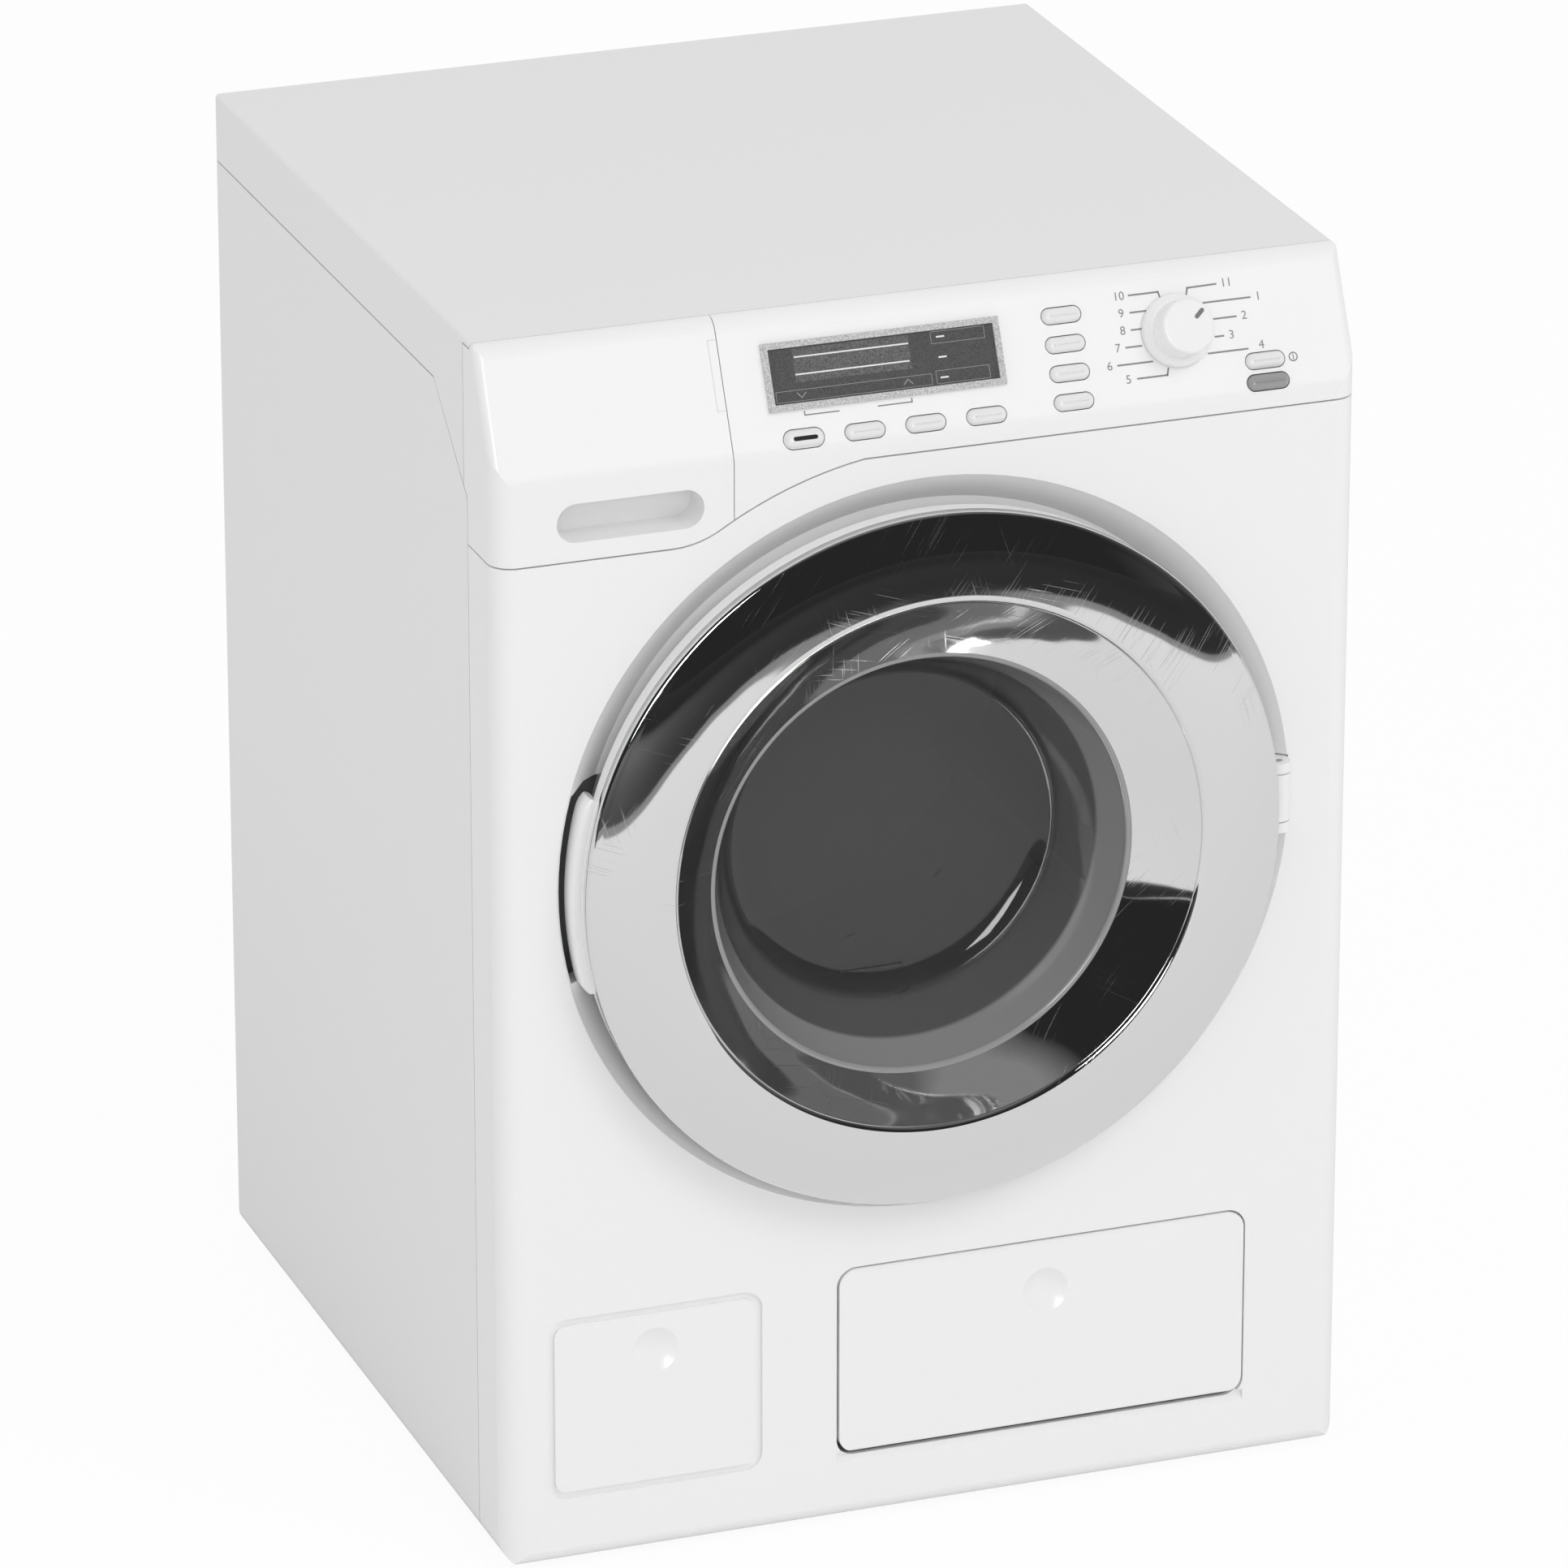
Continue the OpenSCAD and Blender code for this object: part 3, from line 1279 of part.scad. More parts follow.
module gear_motor() {
  color(steel) seat_on_floor() about_pinion() difference() {
    union() {
      translate([0, 0, bracket_z + bracket_t]) cylinder(r = motor_r, h = motor_len, $fn = 64);
      translate([0, 0, bracket_z + bracket_t + motor_len - 0.5]) cylinder(r = 4, h = 2.5, $fn = 32);
    }
    translate([0, 0, bracket_z]) cylinder(r = pinion_shaft_r + running_gap, h = bracket_t + 5, $fn = 32);
  }
}

bracket_posts = [[9, -16], [9, 16], [17, 0]];

module motor_bracket() {
  color(steel) seat_on_floor() about_pinion() difference() {
    union() {
      translate([0, 0, bracket_z]) hull() {
        cylinder(r = motor_r + 2, h = bracket_t, $fn = 32);
        for (p = bracket_posts) translate([p[0], p[1], 0]) cylinder(r = 3.4, h = bracket_t, $fn = 32);
      }
      for (p = bracket_posts) translate([p[0], p[1], tub_back]) cylinder(r = 2.6, h = bracket_z - tub_back + 1, $fn = 32);
    }
    translate([0, 0, bracket_z - 5]) cylinder(r = 3.2, h = 10, $fn = 32);
  }
}

module drain_tube() {
  top_z = door_z - tub_r + 1.6;
  z0 = plate_z + plate_t;
  color(rubber) seat_on_floor() translate([door_x, drain_y, z0]) difference() {
    union() {
      cylinder(r = drain_r, h = top_z - z0, $fn = 48);
      cylinder(r = drain_r + 2.5, h = 1.6, $fn = 48);
    }
    translate([0, 0, -1]) cylinder(r = drain_r - 1.3, h = 100, $fn = 48);
  }
}

module drain_plug() {
  color(rubber) seat_on_floor() translate([door_x, drain_y, plate_z]) {
    cylinder(r = drain_r - 1.35, h = 8, $fn = 48);
    translate([0, 0, -0.3]) cylinder(r = drain_r + 0.6, h = 0.3, $fn = 48);
  }
}

// Service flap

module flap_turn() { translate([0, front_y + flap_pivot_in, flap_z0 + flap_pivot_up]) children(); }

module service_flap() {
  ear_t = 2;
  color(white) seat_on_floor() difference() {
    union() {
      intersection() {
        through(front_y - 0.3, front_y - 0.3 + flap_t)
          soft_rect(flap_x0, flap_z0, flap_x0 + flap_w, flap_z0 + flap_h, 3.6);
        // the rim of the flap is eased all round
        across() difference() {
          translate([front_y - 0.3, flap_z0]) square([flap_t, flap_h]);
          corner_off([front_y - 0.3, flap_z0], [1, 0], [0, 1], 0.8);
          corner_off([front_y - 0.3, flap_z0 + flap_h], [1, 0], [0, -1], 0.8);
        }
      }
      for (x = [flap_x0, flap_x0 + flap_w - ear_t]) {
        translate([x, 0, 0]) flap_turn() rotate([0, 90, 0]) cylinder(r = 2.4, h = ear_t, $fn = 48);
        translate([x, 0, 0]) flap_turn() translate([0, -flap_pivot_in + 1, -2.4]) cube([ear_t, flap_pivot_in - 1, 4.8]);
      }
      // pins
      flap_turn() for (x = [flap_x0 - 2.6, flap_x0 + flap_w - 1]) translate([x, 0, 0])
        rotate([0, 90, 0]) cylinder(r = flap_pin_r, h = 3.6, $fn = 48);
    }
    dimple(flap_x0 + flap_w / 2 + 0.6, flap_z0 + flap_h - 11.2, 0.3);
  }
}

module flap_compartment() {
  t = 1.6;
  side = 1.8;
  x0 = flap_x0 - side;
  x1 = flap_x0 + flap_w + side;
  z0 = flap_z0 - flap_low_gap - 1;
  z1 = flap_z0 + flap_h + 2;
  y0 = front_y + wall;
  stop_z = flap_z0 + flap_pivot_up + 4.6;
  color(side_white) seat_on_floor() difference() {
    union() {
      difference() {
        translate([x0 - t, y0, z0 - t]) cube([x1 - x0 + 2 * t, flap_box_d, z1 - z0 + 2 * t]);
        translate([x0, y0 - 1, z0]) cube([x1 - x0, flap_box_d + 1 - t, z1 - z0]);
      }
      // stop behind the rim of the flap, above the pins
      difference() {
        translate([x0 - t, y0, stop_z]) cube([x1 - x0 + 2 * t, 1.2, z1 + t - stop_z]);
        translate([flap_x0 + 1.2, y0 - 1, stop_z - 1]) cube([flap_w - 2.4, 4, flap_z0 + flap_h - stop_z - 0.2]);
      }
    }
    flap_turn() translate([-far / 2, 0, 0]) rotate([0, 90, 0])
      cylinder(r = flap_pin_r + running_gap, h = far, $fn = 48);
  }
}

// Batteries, reached through a door in the back wall

battery_z0 = 5;
battery_t = 1.5;
battery_in_w = cell_len + 3.4;
battery_in_h = cells * cell_pitch + 0.6;
battery_in_d = 2 * cell_r + 0.8;
battery_y1 = back_y - wall - 0.2;
battery_mid_z = battery_z0 + battery_t + battery_in_h / 2;

module battery_box() {
  color(dark) seat_on_floor() difference() {
    translate([-battery_in_w / 2 - battery_t, battery_y1 - battery_in_d - battery_t, battery_z0])
      cube([battery_in_w + 2 * battery_t, battery_in_d + battery_t, battery_in_h + 2 * battery_t]);
    translate([-battery_in_w / 2, battery_y1 - battery_in_d, battery_z0 + battery_t])
      cube([battery_in_w, battery_in_d + 5, battery_in_h]);
  }
}

module battery_opening() {
  through(back_y - wall - 1, back_y + 5)
    square_at(0, battery_mid_z, battery_in_w - 3, battery_in_h - 2);
}

module square_at(x, z, w, h) { translate([x - w / 2, z - h / 2]) square([w, h]); }

module battery_cells() {
  color("#6b7d8c") seat_on_floor() for (i = [0:cells - 1])
    translate([0, battery_y1 - battery_in_d + cell_r + 0.1, battery_z0 + battery_t + 0.3 + cell_pitch * (i + 0.5)])
      rotate([0, i % 2 == 0 ? 90 : -90, 0]) {
        translate([0, 0, -cell_len / 2]) cylinder(r = cell_r, h = cell_len - 1.2, $fn = 48);
        translate([0, 0, cell_len / 2 - 1.5]) cylinder(r = 2.7, h = 1.5, $fn = 32);
      }
}

module battery_contacts() {
  color(steel) seat_on_floor() for (s = [-1, 1], i = [0:cells - 1])
    translate([s * (battery_in_w / 2 - 0.4) - 0.3, battery_y1 - battery_in_d + 1,
               battery_z0 + battery_t + 0.3 + cell_pitch * (i + 0.5) - 4.5])
      cube([0.6, battery_in_d - 3, 9]);
}

module battery_door() {
  w = battery_in_w - 3 - 2 * seam;
  h = battery_in_h - 2 - 2 * seam;
  color(side_white) seat_on_floor() difference() {
    union() {
      through(back_y - wall, back_y) square_at(0, battery_mid_z, w, h);
      // ribs that give a grip
      for (i = [-2:2]) through(back_y - 1, back_y + 0.6 - 0.6) square_at(i * 5, battery_mid_z - h / 2 + 8, 2, 8);
    }
    for (i = [-2:2]) through(back_y - 0.8, back_y + 1) square_at(i * 4, battery_mid_z - h / 2 + 8, 1.4, 9);
    translate([0, back_y, battery_mid_z + h / 2 - 6]) rotate([90, 0, 0]) {
      translate([0, 0, -1]) cylinder(r = screw_head_r + 0.2, h = 1 + screw_head_h - 0.4, $fn = 32);
      translate([0, 0, -1]) cylinder(r = screw_r + 0.2, h = 10, $fn = 24);
    }
  }
}

module battery_door_screw() {
  h = battery_in_h - 2 - 2 * seam;
  color(steel) seat_on_floor() translate([0, back_y, battery_mid_z + h / 2 - 6]) rotate([90, 0, 0])
    difference() {
      union() {
        translate([0, 0, 0.2]) cylinder(r = screw_head_r, h = 1, $fn = 32);
        translate([0, 0, 1]) cylinder(r = screw_r, h = 2, $fn = 24);
      }
      cross_recess(0.2);
    }
}

module cross_recess(z) {
  for (a = [0, 90]) rotate([0, 0, a]) translate([-1.5, -0.3, z - 1]) cube([3, 0.6, 1.6]);
}

module housing_screws() {
  color(steel) seat_on_floor() {
    for (s = [-1, 1]) {
      translate([s * base_boss_x, base_boss_back_y, plate_z - 0.3]) base_screw();
      translate([s * base_boss_x, base_boss_front_y, 0.1]) base_screw();
    }
  }
}

module base_screw() {
  difference() {
    union() {
      cylinder(r = screw_head_r, h = 0.7, $fn = 32);
      translate([0, 0, 0.6]) cylinder(r = screw_r - 0.15, h = 7.6, $fn = 24);
    }
    cross_recess(0.2);
  }
}

cabinet_shell();
base_plate();
feet();
top_cover();
front_panel();
control_fascia();
display_frame();
display_window();
circuit_board();
button_pad();
speaker();
drawer_front();
drawer_tray();
drawer_housing();
fill_spout();
program_knob();
knob_pointer();
start_button();
fill_button();
wash_button();
drain_button();
option_button_1();
option_button_2();
option_button_3();
option_button_4();
power_button();
door_button();
door_bezel();
door_inner_ring();
door_window();
door_back_shell();
door_latch_hook();
door_screws();
hinge_block();
hinge_pin();
latch_clip();
door_gasket();
water_tub();
tub_bushing();
drum_basket();
drum_lifters();
drum_shaft();
drum_gear();
motor_pinion();
gear_motor();
motor_bracket();
drain_tube();
drain_plug();
service_flap();
flap_compartment();
battery_box();
battery_cells();
battery_contacts();
battery_door();
battery_door_screw();
housing_screws();
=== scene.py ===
"""Toy washing machine: finishes, plated door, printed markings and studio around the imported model."""

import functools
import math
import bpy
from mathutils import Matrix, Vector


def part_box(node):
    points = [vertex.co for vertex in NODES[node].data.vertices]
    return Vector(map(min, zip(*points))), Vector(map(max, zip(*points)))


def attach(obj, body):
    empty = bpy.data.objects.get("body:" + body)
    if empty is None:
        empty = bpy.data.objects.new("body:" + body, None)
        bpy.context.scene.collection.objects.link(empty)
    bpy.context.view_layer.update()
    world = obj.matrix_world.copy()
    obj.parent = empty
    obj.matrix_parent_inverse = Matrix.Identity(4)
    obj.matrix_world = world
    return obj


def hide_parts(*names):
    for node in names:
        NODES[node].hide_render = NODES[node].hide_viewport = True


bl_info = {
    "name": "Toy Washing Machine",
    "version": (1, 0, 0),
    "blender": (4, 5, 0),
    "location": "3D View > Sidebar > Toy Washer",
    "description": "Finishes, door, markings and studio of a toy washing machine",
    "category": "Object",
}

import bmesh
import bpy
from bpy.props import FloatProperty, FloatVectorProperty, IntProperty, PointerProperty
from mathutils import Matrix, Vector

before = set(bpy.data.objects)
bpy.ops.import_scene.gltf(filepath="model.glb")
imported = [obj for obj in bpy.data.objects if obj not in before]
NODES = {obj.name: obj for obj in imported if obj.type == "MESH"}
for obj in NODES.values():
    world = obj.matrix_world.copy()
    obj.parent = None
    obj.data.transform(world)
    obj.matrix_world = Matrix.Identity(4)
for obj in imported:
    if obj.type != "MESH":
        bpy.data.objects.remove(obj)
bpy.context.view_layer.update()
MM = 0.001

# In millimetres
BOWL_DEPTH = 23.6        # of the window behind the front of the casing
INK = 0.03               # thickness of a printed line
FIELD_INK = 0.02         # thickness of the grey ground in the display
FIELD_HALF_WIDTH = 90.7  # of the printed field on the slope
FIELD_FOOT = 1.0         # lower edge of that field above the crease
PEEL_SIZE, PEEL_DEPTH = 1.6, 0.006   # of the orange peel on moulded ABS

WHITE_BUTTONS = ("fill_button", "wash_button", "drain_button", "option_button_1", "option_button_2",
                 "option_button_3", "option_button_4", "power_button")


# Colours and node trees


def hex_linear(code):
    """Turns an sRGB hex value into linear red, green, blue and alpha."""
    channels = [int(code[i:i + 2], 16) / 255 for i in (1, 3, 5)]
    return [c / 12.92 if c <= 0.04045 else ((c + 0.055) / 1.055) ** 2.4 for c in channels] + [1.0]


def feed(socket, value):
    """Links an output socket to an input socket, or else sets the input's own value."""
    if isinstance(value, bpy.types.NodeSocket):
        socket.id_data.links.new(value, socket)
    else:
        socket.default_value = value


def add_node(tree, kind, settings=None, inputs=None):
    """Adds a node with its settings. An input takes a value, or an output socket to link."""
    made = tree.nodes.new(kind)
    for key, value in (settings or {}).items():
        setattr(made, key, value)
    for key, value in (inputs or {}).items():
        feed(made.inputs[key], value)
    return made


def output_of(tree, kind, inputs=None, settings=None, socket=0):
    """Adds a node and returns one of its output sockets."""
    return add_node(tree, kind, settings, inputs).outputs[socket]


def empty_tree(owner):
    """The node tree of a material or a world, with nothing in it."""
    owner.use_nodes = True
    owner.node_tree.nodes.clear()
    return owner.node_tree


def new_material(name, values):
    """A material with one Principled shader. Its tree and the shader's input sockets come with it."""
    material = bpy.data.materials.new(name)
    tree = empty_tree(material)
    shader = add_node(tree, "ShaderNodeBsdfPrincipled", inputs=values)
    add_node(tree, "ShaderNodeOutputMaterial", inputs={"Surface": shader.outputs["BSDF"]})
    return material, tree, shader.inputs


def object_coordinates(tree):
    """Coordinates that stay with the object."""
    return output_of(tree, "ShaderNodeTexCoord", socket="Object")


def grain(tree, size_mm, detail=2.0, where=None):
    """Noise whose cells are about size_mm wide."""
    return output_of(tree, "ShaderNodeTexNoise", {
        "Vector": where or object_coordinates(tree), "Scale": 1 / (size_mm * MM),
        "Detail": detail}, socket="Fac")


def between(tree, value, low, high, to_low=0.0, to_high=1.0):
    """Maps a span of one value onto a span of another, and holds it at the ends."""
    return output_of(tree, "ShaderNodeMapRange", {
        "Value": value, "From Min": low, "From Max": high, "To Min": to_low, "To Max": to_high})


def combine(tree, operation, first, second):
    """One step of arithmetic on two values or output sockets."""
    return output_of(tree, "ShaderNodeMath", {0: first, 1: second}, {"operation": operation})


def axes_of(tree, vector=None):
    """The X, Y and Z outputs of a vector, or of the object coordinates."""
    return add_node(tree, "ShaderNodeSeparateXYZ", inputs={
        "Vector": vector or object_coordinates(tree)}).outputs


def blend_colours(tree, factor, first, second):
    """Mixes two colours by a factor. Sockets are found by identifier, since their names repeat."""
    mix = add_node(tree, "ShaderNodeMix", {"data_type": "RGBA"})
    for socket, value in (("Factor_Float", factor), ("A_Color", first), ("B_Color", second)):
        feed(next(s for s in mix.inputs if s.identifier == socket), value)
    return next(s for s in mix.outputs if s.identifier == "Result_Color")


def shade(colour, factor):
    """The colour made darker or lighter, with full alpha."""
    return [c * factor for c in colour[:3]] + [1.0]


def bump(tree, height, strength, depth_mm, under=None):
    """A bump of the given depth, on top of another normal where there is one."""
    inputs = {"Height": height, "Strength": strength, "Distance": depth_mm * MM}
    if under:
        inputs["Normal"] = under
    return output_of(tree, "ShaderNodeBump", inputs)


def roughen(tree, sockets, height, strength, depth_mm):
    """Feeds a height into the shader as a bump."""
    feed(sockets["Normal"], bump(tree, height, strength, depth_mm))


# Finishes


def moulded_abs(name, colour, roughness, orange_peel=0.1):
    """Injection-moulded ABS from a polished tool: an even gloss with a faint orange peel, and a slightly
    cloudy roughness where the plastic flowed."""
    material, tree, sockets = new_material(name, {"Base Color": colour, "IOR": 1.53})
    flow_size, cloud = 40, 0.005
    flow = grain(tree, flow_size, 1)
    feed(sockets["Roughness"], between(tree, flow, 0, 1, roughness - cloud, roughness + cloud))
    roughen(tree, sockets, grain(tree, PEEL_SIZE, 1), orange_peel, PEEL_DEPTH)
    return material


def printed_abs(name, plain, printed, roughness, field):
    """White ABS with a brighter, slightly glossier pad-printed field on the sloping face. field gives its
    half width, its lower height and its upper height, in metres."""
    material, tree, sockets = new_material(name, {"IOR": 1.53})
    place = axes_of(tree)
    across = output_of(tree, "ShaderNodeMath", {0: place["X"]}, {"operation": "ABSOLUTE"})
    half_width, low, high = field
    edge = 0.12 * MM
    inside = between(tree, across, half_width - edge, half_width, 1.0, 0.0)
    above = between(tree, place["Z"], low, low + edge)
    below = between(tree, place["Z"], high, high + edge, 1.0, 0.0)
    mask = combine(tree, "MULTIPLY", combine(tree, "MULTIPLY", inside, above), below)
    feed(sockets["Base Color"], blend_colours(tree, mask, plain, printed))
    feed(sockets["Roughness"], between(tree, mask, 0, 1, roughness, roughness - 0.06))
    roughen(tree, sockets, grain(tree, PEEL_SIZE, 1), 0.15, PEEL_DEPTH)
    return material


def hairlines(tree, angle, spread, seed):
    """Straight handling scratches along one direction in the plane of the door, in patches about spread
    millimetres wide. They are drawn coarser than real ones, which are too fine to show."""
    length, width = 18 * MM, 0.17 * MM
    faintest, clearest = 0.715, 0.79
    turned = output_of(tree, "ShaderNodeMapping", {
        "Vector": object_coordinates(tree), "Rotation": (0, math.radians(angle), 0),
        "Location": (seed, seed * 0.7, 0), "Scale": (length, length, width)}, {"vector_type": "TEXTURE"})
    lines = grain(tree, 1 / MM, 0.0, turned)
    thin = between(tree, lines, faintest, clearest)
    patch_at = output_of(tree, "ShaderNodeMapping", {
        "Vector": object_coordinates(tree), "Location": (seed * 2, 0, seed)})
    patch = between(tree, grain(tree, spread, 1, patch_at), 0.54, 0.7)
    return combine(tree, "MULTIPLY", thin, patch)


def plated_abs(name, colour, roughness, wave_depth_mm):
    """Chrome-plated ABS: a bright mirror skin over moulded plastic, faintly wavy, with hairline
    scratches that catch the light."""
    material, tree, sockets = new_material(name, {"Metallic": 1.0, "Base Color": colour})
    scratched_roughness, scratch_depth, wave_size = 0.3, 0.02, 15
    marks = 0.0
    for angle, spread, seed in ((18, 22, 3.1), (-52, 16, 8.3), (74, 19, 5.7), (128, 26, 1.9)):
        marks = combine(tree, "MAXIMUM", marks, hairlines(tree, angle, spread, seed))
    feed(sockets["Roughness"], between(tree, marks, 0, 1, roughness, scratched_roughness))
    wave = bump(tree, grain(tree, wave_size, 1), 1.0, wave_depth_mm)
    feed(sockets["Normal"], bump(tree, marks, 0.2, scratch_depth, wave))
    return material


def smoked_styrene(name, colour, pale, roughness, zones):
    """Smoked clear polystyrene. Its slanting side stands before the door's white collar, and its base colour
    is painted paler there than on the flat bottom: painted light for the lit collar seen through it. An inner
    band of the side is painted darker: painted shade for the shaded tub seen through it. The flat bottom
    shows the dark drum. zones: the Y where the collar ends, and where the bottom starts."""
    material, tree, sockets = new_material(name, {
        "Roughness": roughness, "IOR": 1.59, "Specular IOR Level": 0.7})
    depth = axes_of(tree)["Y"]
    collar_end, bottom_start = zones
    step = 0.5 * MM
    inner = between(tree, depth, collar_end - step, collar_end + step)
    flat = between(tree, depth, bottom_start - 3 * step, bottom_start + step)
    # Painted light and shade: the collar band takes the pale colour for the lit collar behind it, and the
    # inner band a darker one for the shaded tub behind it
    side = blend_colours(tree, inner, pale, shade(pale, 0.42))
    feed(sockets["Base Color"], blend_colours(tree, flat, side, colour))
    side_alpha = between(tree, inner, 0, 1, 0.8, 0.62)
    thinner = between(tree, flat, 0, 1, 1.0, 0.8)
    feed(sockets["Alpha"], combine(tree, "MULTIPLY", side_alpha, thinner))
    roughen(tree, sockets, grain(tree, 14, 1), 0.25, 0.04)
    return material


def plain_plastic(name, colour, roughness, grain_mm=0.8, depth_mm=0.01, speckle=0.04):
    """Moulded plastic or rubber from a textured tool: a fine leathered grain and a small variation."""
    material, tree, sockets = new_material(name, {"Roughness": roughness, "IOR": 1.5})
    spots = grain(tree, grain_mm, 3)
    dark, light = shade(colour, 1 - speckle), shade(colour, 1 + speckle)
    feed(sockets["Base Color"], blend_colours(tree, between(tree, spots, 0.3, 0.7), dark, light))
    roughen(tree, sockets, spots, 0.5, depth_mm)
    return material


def metallic_ink(name, dark, light, cell_mm, metallic, roughness):
    """Silver or graphite screen ink: coarse flakes that read as a grainy tone from a step away."""
    material, tree, sockets = new_material(name, {"Metallic": metallic, "Roughness": roughness})
    flakes = between(tree, grain(tree, cell_mm, 4), 0.36, 0.64)
    feed(sockets["Base Color"], blend_colours(tree, flakes, dark, light))
    roughen(tree, sockets, flakes, 0.4, 0.01)
    return material


def drawn_metal(name, colour, roughness, stretch):
    """Zinc-plated or turned steel: fine parallel lines along one axis."""
    material, tree, sockets = new_material(name, {"Metallic": 1.0})
    along = output_of(tree, "ShaderNodeMapping", {"Vector": object_coordinates(tree), "Scale": stretch})
    lines = grain(tree, 0.8, 2.0, along)
    feed(sockets["Base Color"], blend_colours(tree, lines, shade(colour, 0.85), colour))
    feed(sockets["Roughness"], between(tree, lines, 0.3, 0.7, roughness - 0.08, roughness + 0.1))
    roughen(tree, sockets, lines, 0.3, 0.01)
    return material


def battery_wrap(name, colour, tip):
    """Shrink sleeve round a cell: glossy, with a copper-coloured band at one end."""
    material, tree, sockets = new_material(name, {"Roughness": 0.3, "Metallic": 0.35})
    band_start, band_edge = 12 * MM, 0.3 * MM
    band = between(tree, axes_of(tree)["X"], band_start, band_start + band_edge)
    feed(sockets["Base Color"], blend_colours(tree, band, colour, tip))
    roughen(tree, sockets, grain(tree, 3, 2), 0.2, 0.02)
    return material


# Sizes and colours that a user would change


def colour_property(name, thing, code):
    """A colour, from its sRGB hex value."""
    return FloatVectorProperty(name=name, description="Colour of the " + thing, subtype="COLOR", size=4,
                               min=0, max=1, default=hex_linear(code))


def length_property(name, description, length_mm):
    """A length, from its value in millimetres."""
    return FloatProperty(name=name, description=description, unit="LENGTH", default=length_mm * MM)


def power_property(name, lamp, watts):
    """The power of a lamp."""
    return FloatProperty(name=name, description="Power of the " + lamp, unit="POWER", default=watts)


class WasherColours(bpy.types.PropertyGroup):
    casing: colour_property("Casing", "white mouldings", "#EFEFEF")
    print_field: colour_property("Printed field", "printed field on the fascia", "#F3F3F3")
    plating: colour_property("Plating", "chrome plating", "#E2E2E2")
    smoke: colour_property("Window", "smoked window", "#404040")
    # Painted light: the window side's pale colour stands in for the lit collar seen through the window
    smoke_side_painted_light: colour_property("Window side", "window's slanting side", "#A0A0A0")
    lettering: colour_property("Markings", "printed lines and numbers", "#8C8C8C")
    drum: colour_property("Drum", "drum", "#C8C8C8")
    door_button: colour_property("Door button", "door button", "#9A9A9A")


class WasherSizes(bpy.types.PropertyGroup):
    lean: FloatProperty(
        name="Lean", description="Lean of the sloping fascia from upright", subtype="ANGLE",
        default=math.radians(25.5))
    slope_rise: length_property("Slope height", "Height of the sloping face above its crease", 25.7)
    ring_bulge: length_property("Ring bulge", "How far the door ring's face arches", 0.8)
    line_width: length_property("Line width", "Width of the printed lines", 0.36)
    numeral_size: length_property("Numeral size", "Height of the numbers round the dial", 2.5)
    smoothness: IntProperty(
        name="Smoothness", description="Steps round the plated ring and the window", default=192,
        min=48, max=512)
    key_power: power_property("Key light", "large soft light in front", 20.0)
    front_power: power_property("Front light", "light beside the camera", 6.1)
    side_power: power_property("Side light", "soft light at the left", 2.9)
    strip_power: power_property("Strip light", "narrow light for the window's glint", 22.0)
    sky_level: FloatProperty(
        name="Sky level", description="Brightness of the even light from all round", default=0.86)


def sizes():
    """The sizes and light levels that a user can change."""
    return bpy.context.scene.washer_sizes


# Inks, plastics and rubbers with a plain grain: material name, colour, roughness, then grain size and
# grain depth in millimetres, and how much the tone varies where that isn't the usual share
PLAIN = {
    "white ink": ("white_screen_ink", "#E6E6E6", 0.4, 0.4, 0.002),
    "faint white ink": ("faint_screen_ink", "#9A9A9A", 0.4, 0.4, 0.002),
    "faint grey ink": ("faint_pad_ink", "#DCDCDC", 0.4, 0.4, 0.002),
    "tub grey ABS": ("tub_grey_abs", "#8E8F92", 0.5, 1.4, 0.015, 0.03),
    "seal rubber": ("seal_rubber", "#C0C0C0", 0.62, 0.6, 0.01),
    "foot rubber": ("foot_rubber", "#4B4C4F", 0.75, 0.5, 0.02),
    "silicone": ("silicone_pad", "#DADADA", 0.55, 0.9, 0.005),
    "black moulding": ("black_moulding", "#2E2F32", 0.5, 0.7, 0.015),
    "natural acetal": ("natural_acetal", "#EDE9DB", 0.38, 2.0, 0.005, 0.02),
    "circuit laminate": ("circuit_laminate", "#2E6B41", 0.35, 0.5, 0.01),
}
# Screen inks with coarse flakes: material name, two tones, flake size, metallic share and roughness
FLAKED = {
    "silver ink": ("silver_screen_ink", "#B0B0B0", "#DCDCDC", 0.35, 0.15, 0.45),
    "graphite ink": ("graphite_screen_ink", "#484848", "#5C5C5C", 0.3, 0.0, 0.35),
    "grey display ink": ("display_grey_ink", "#4C4C4C", "#767676", 0.3, 0.0, 0.4),
}


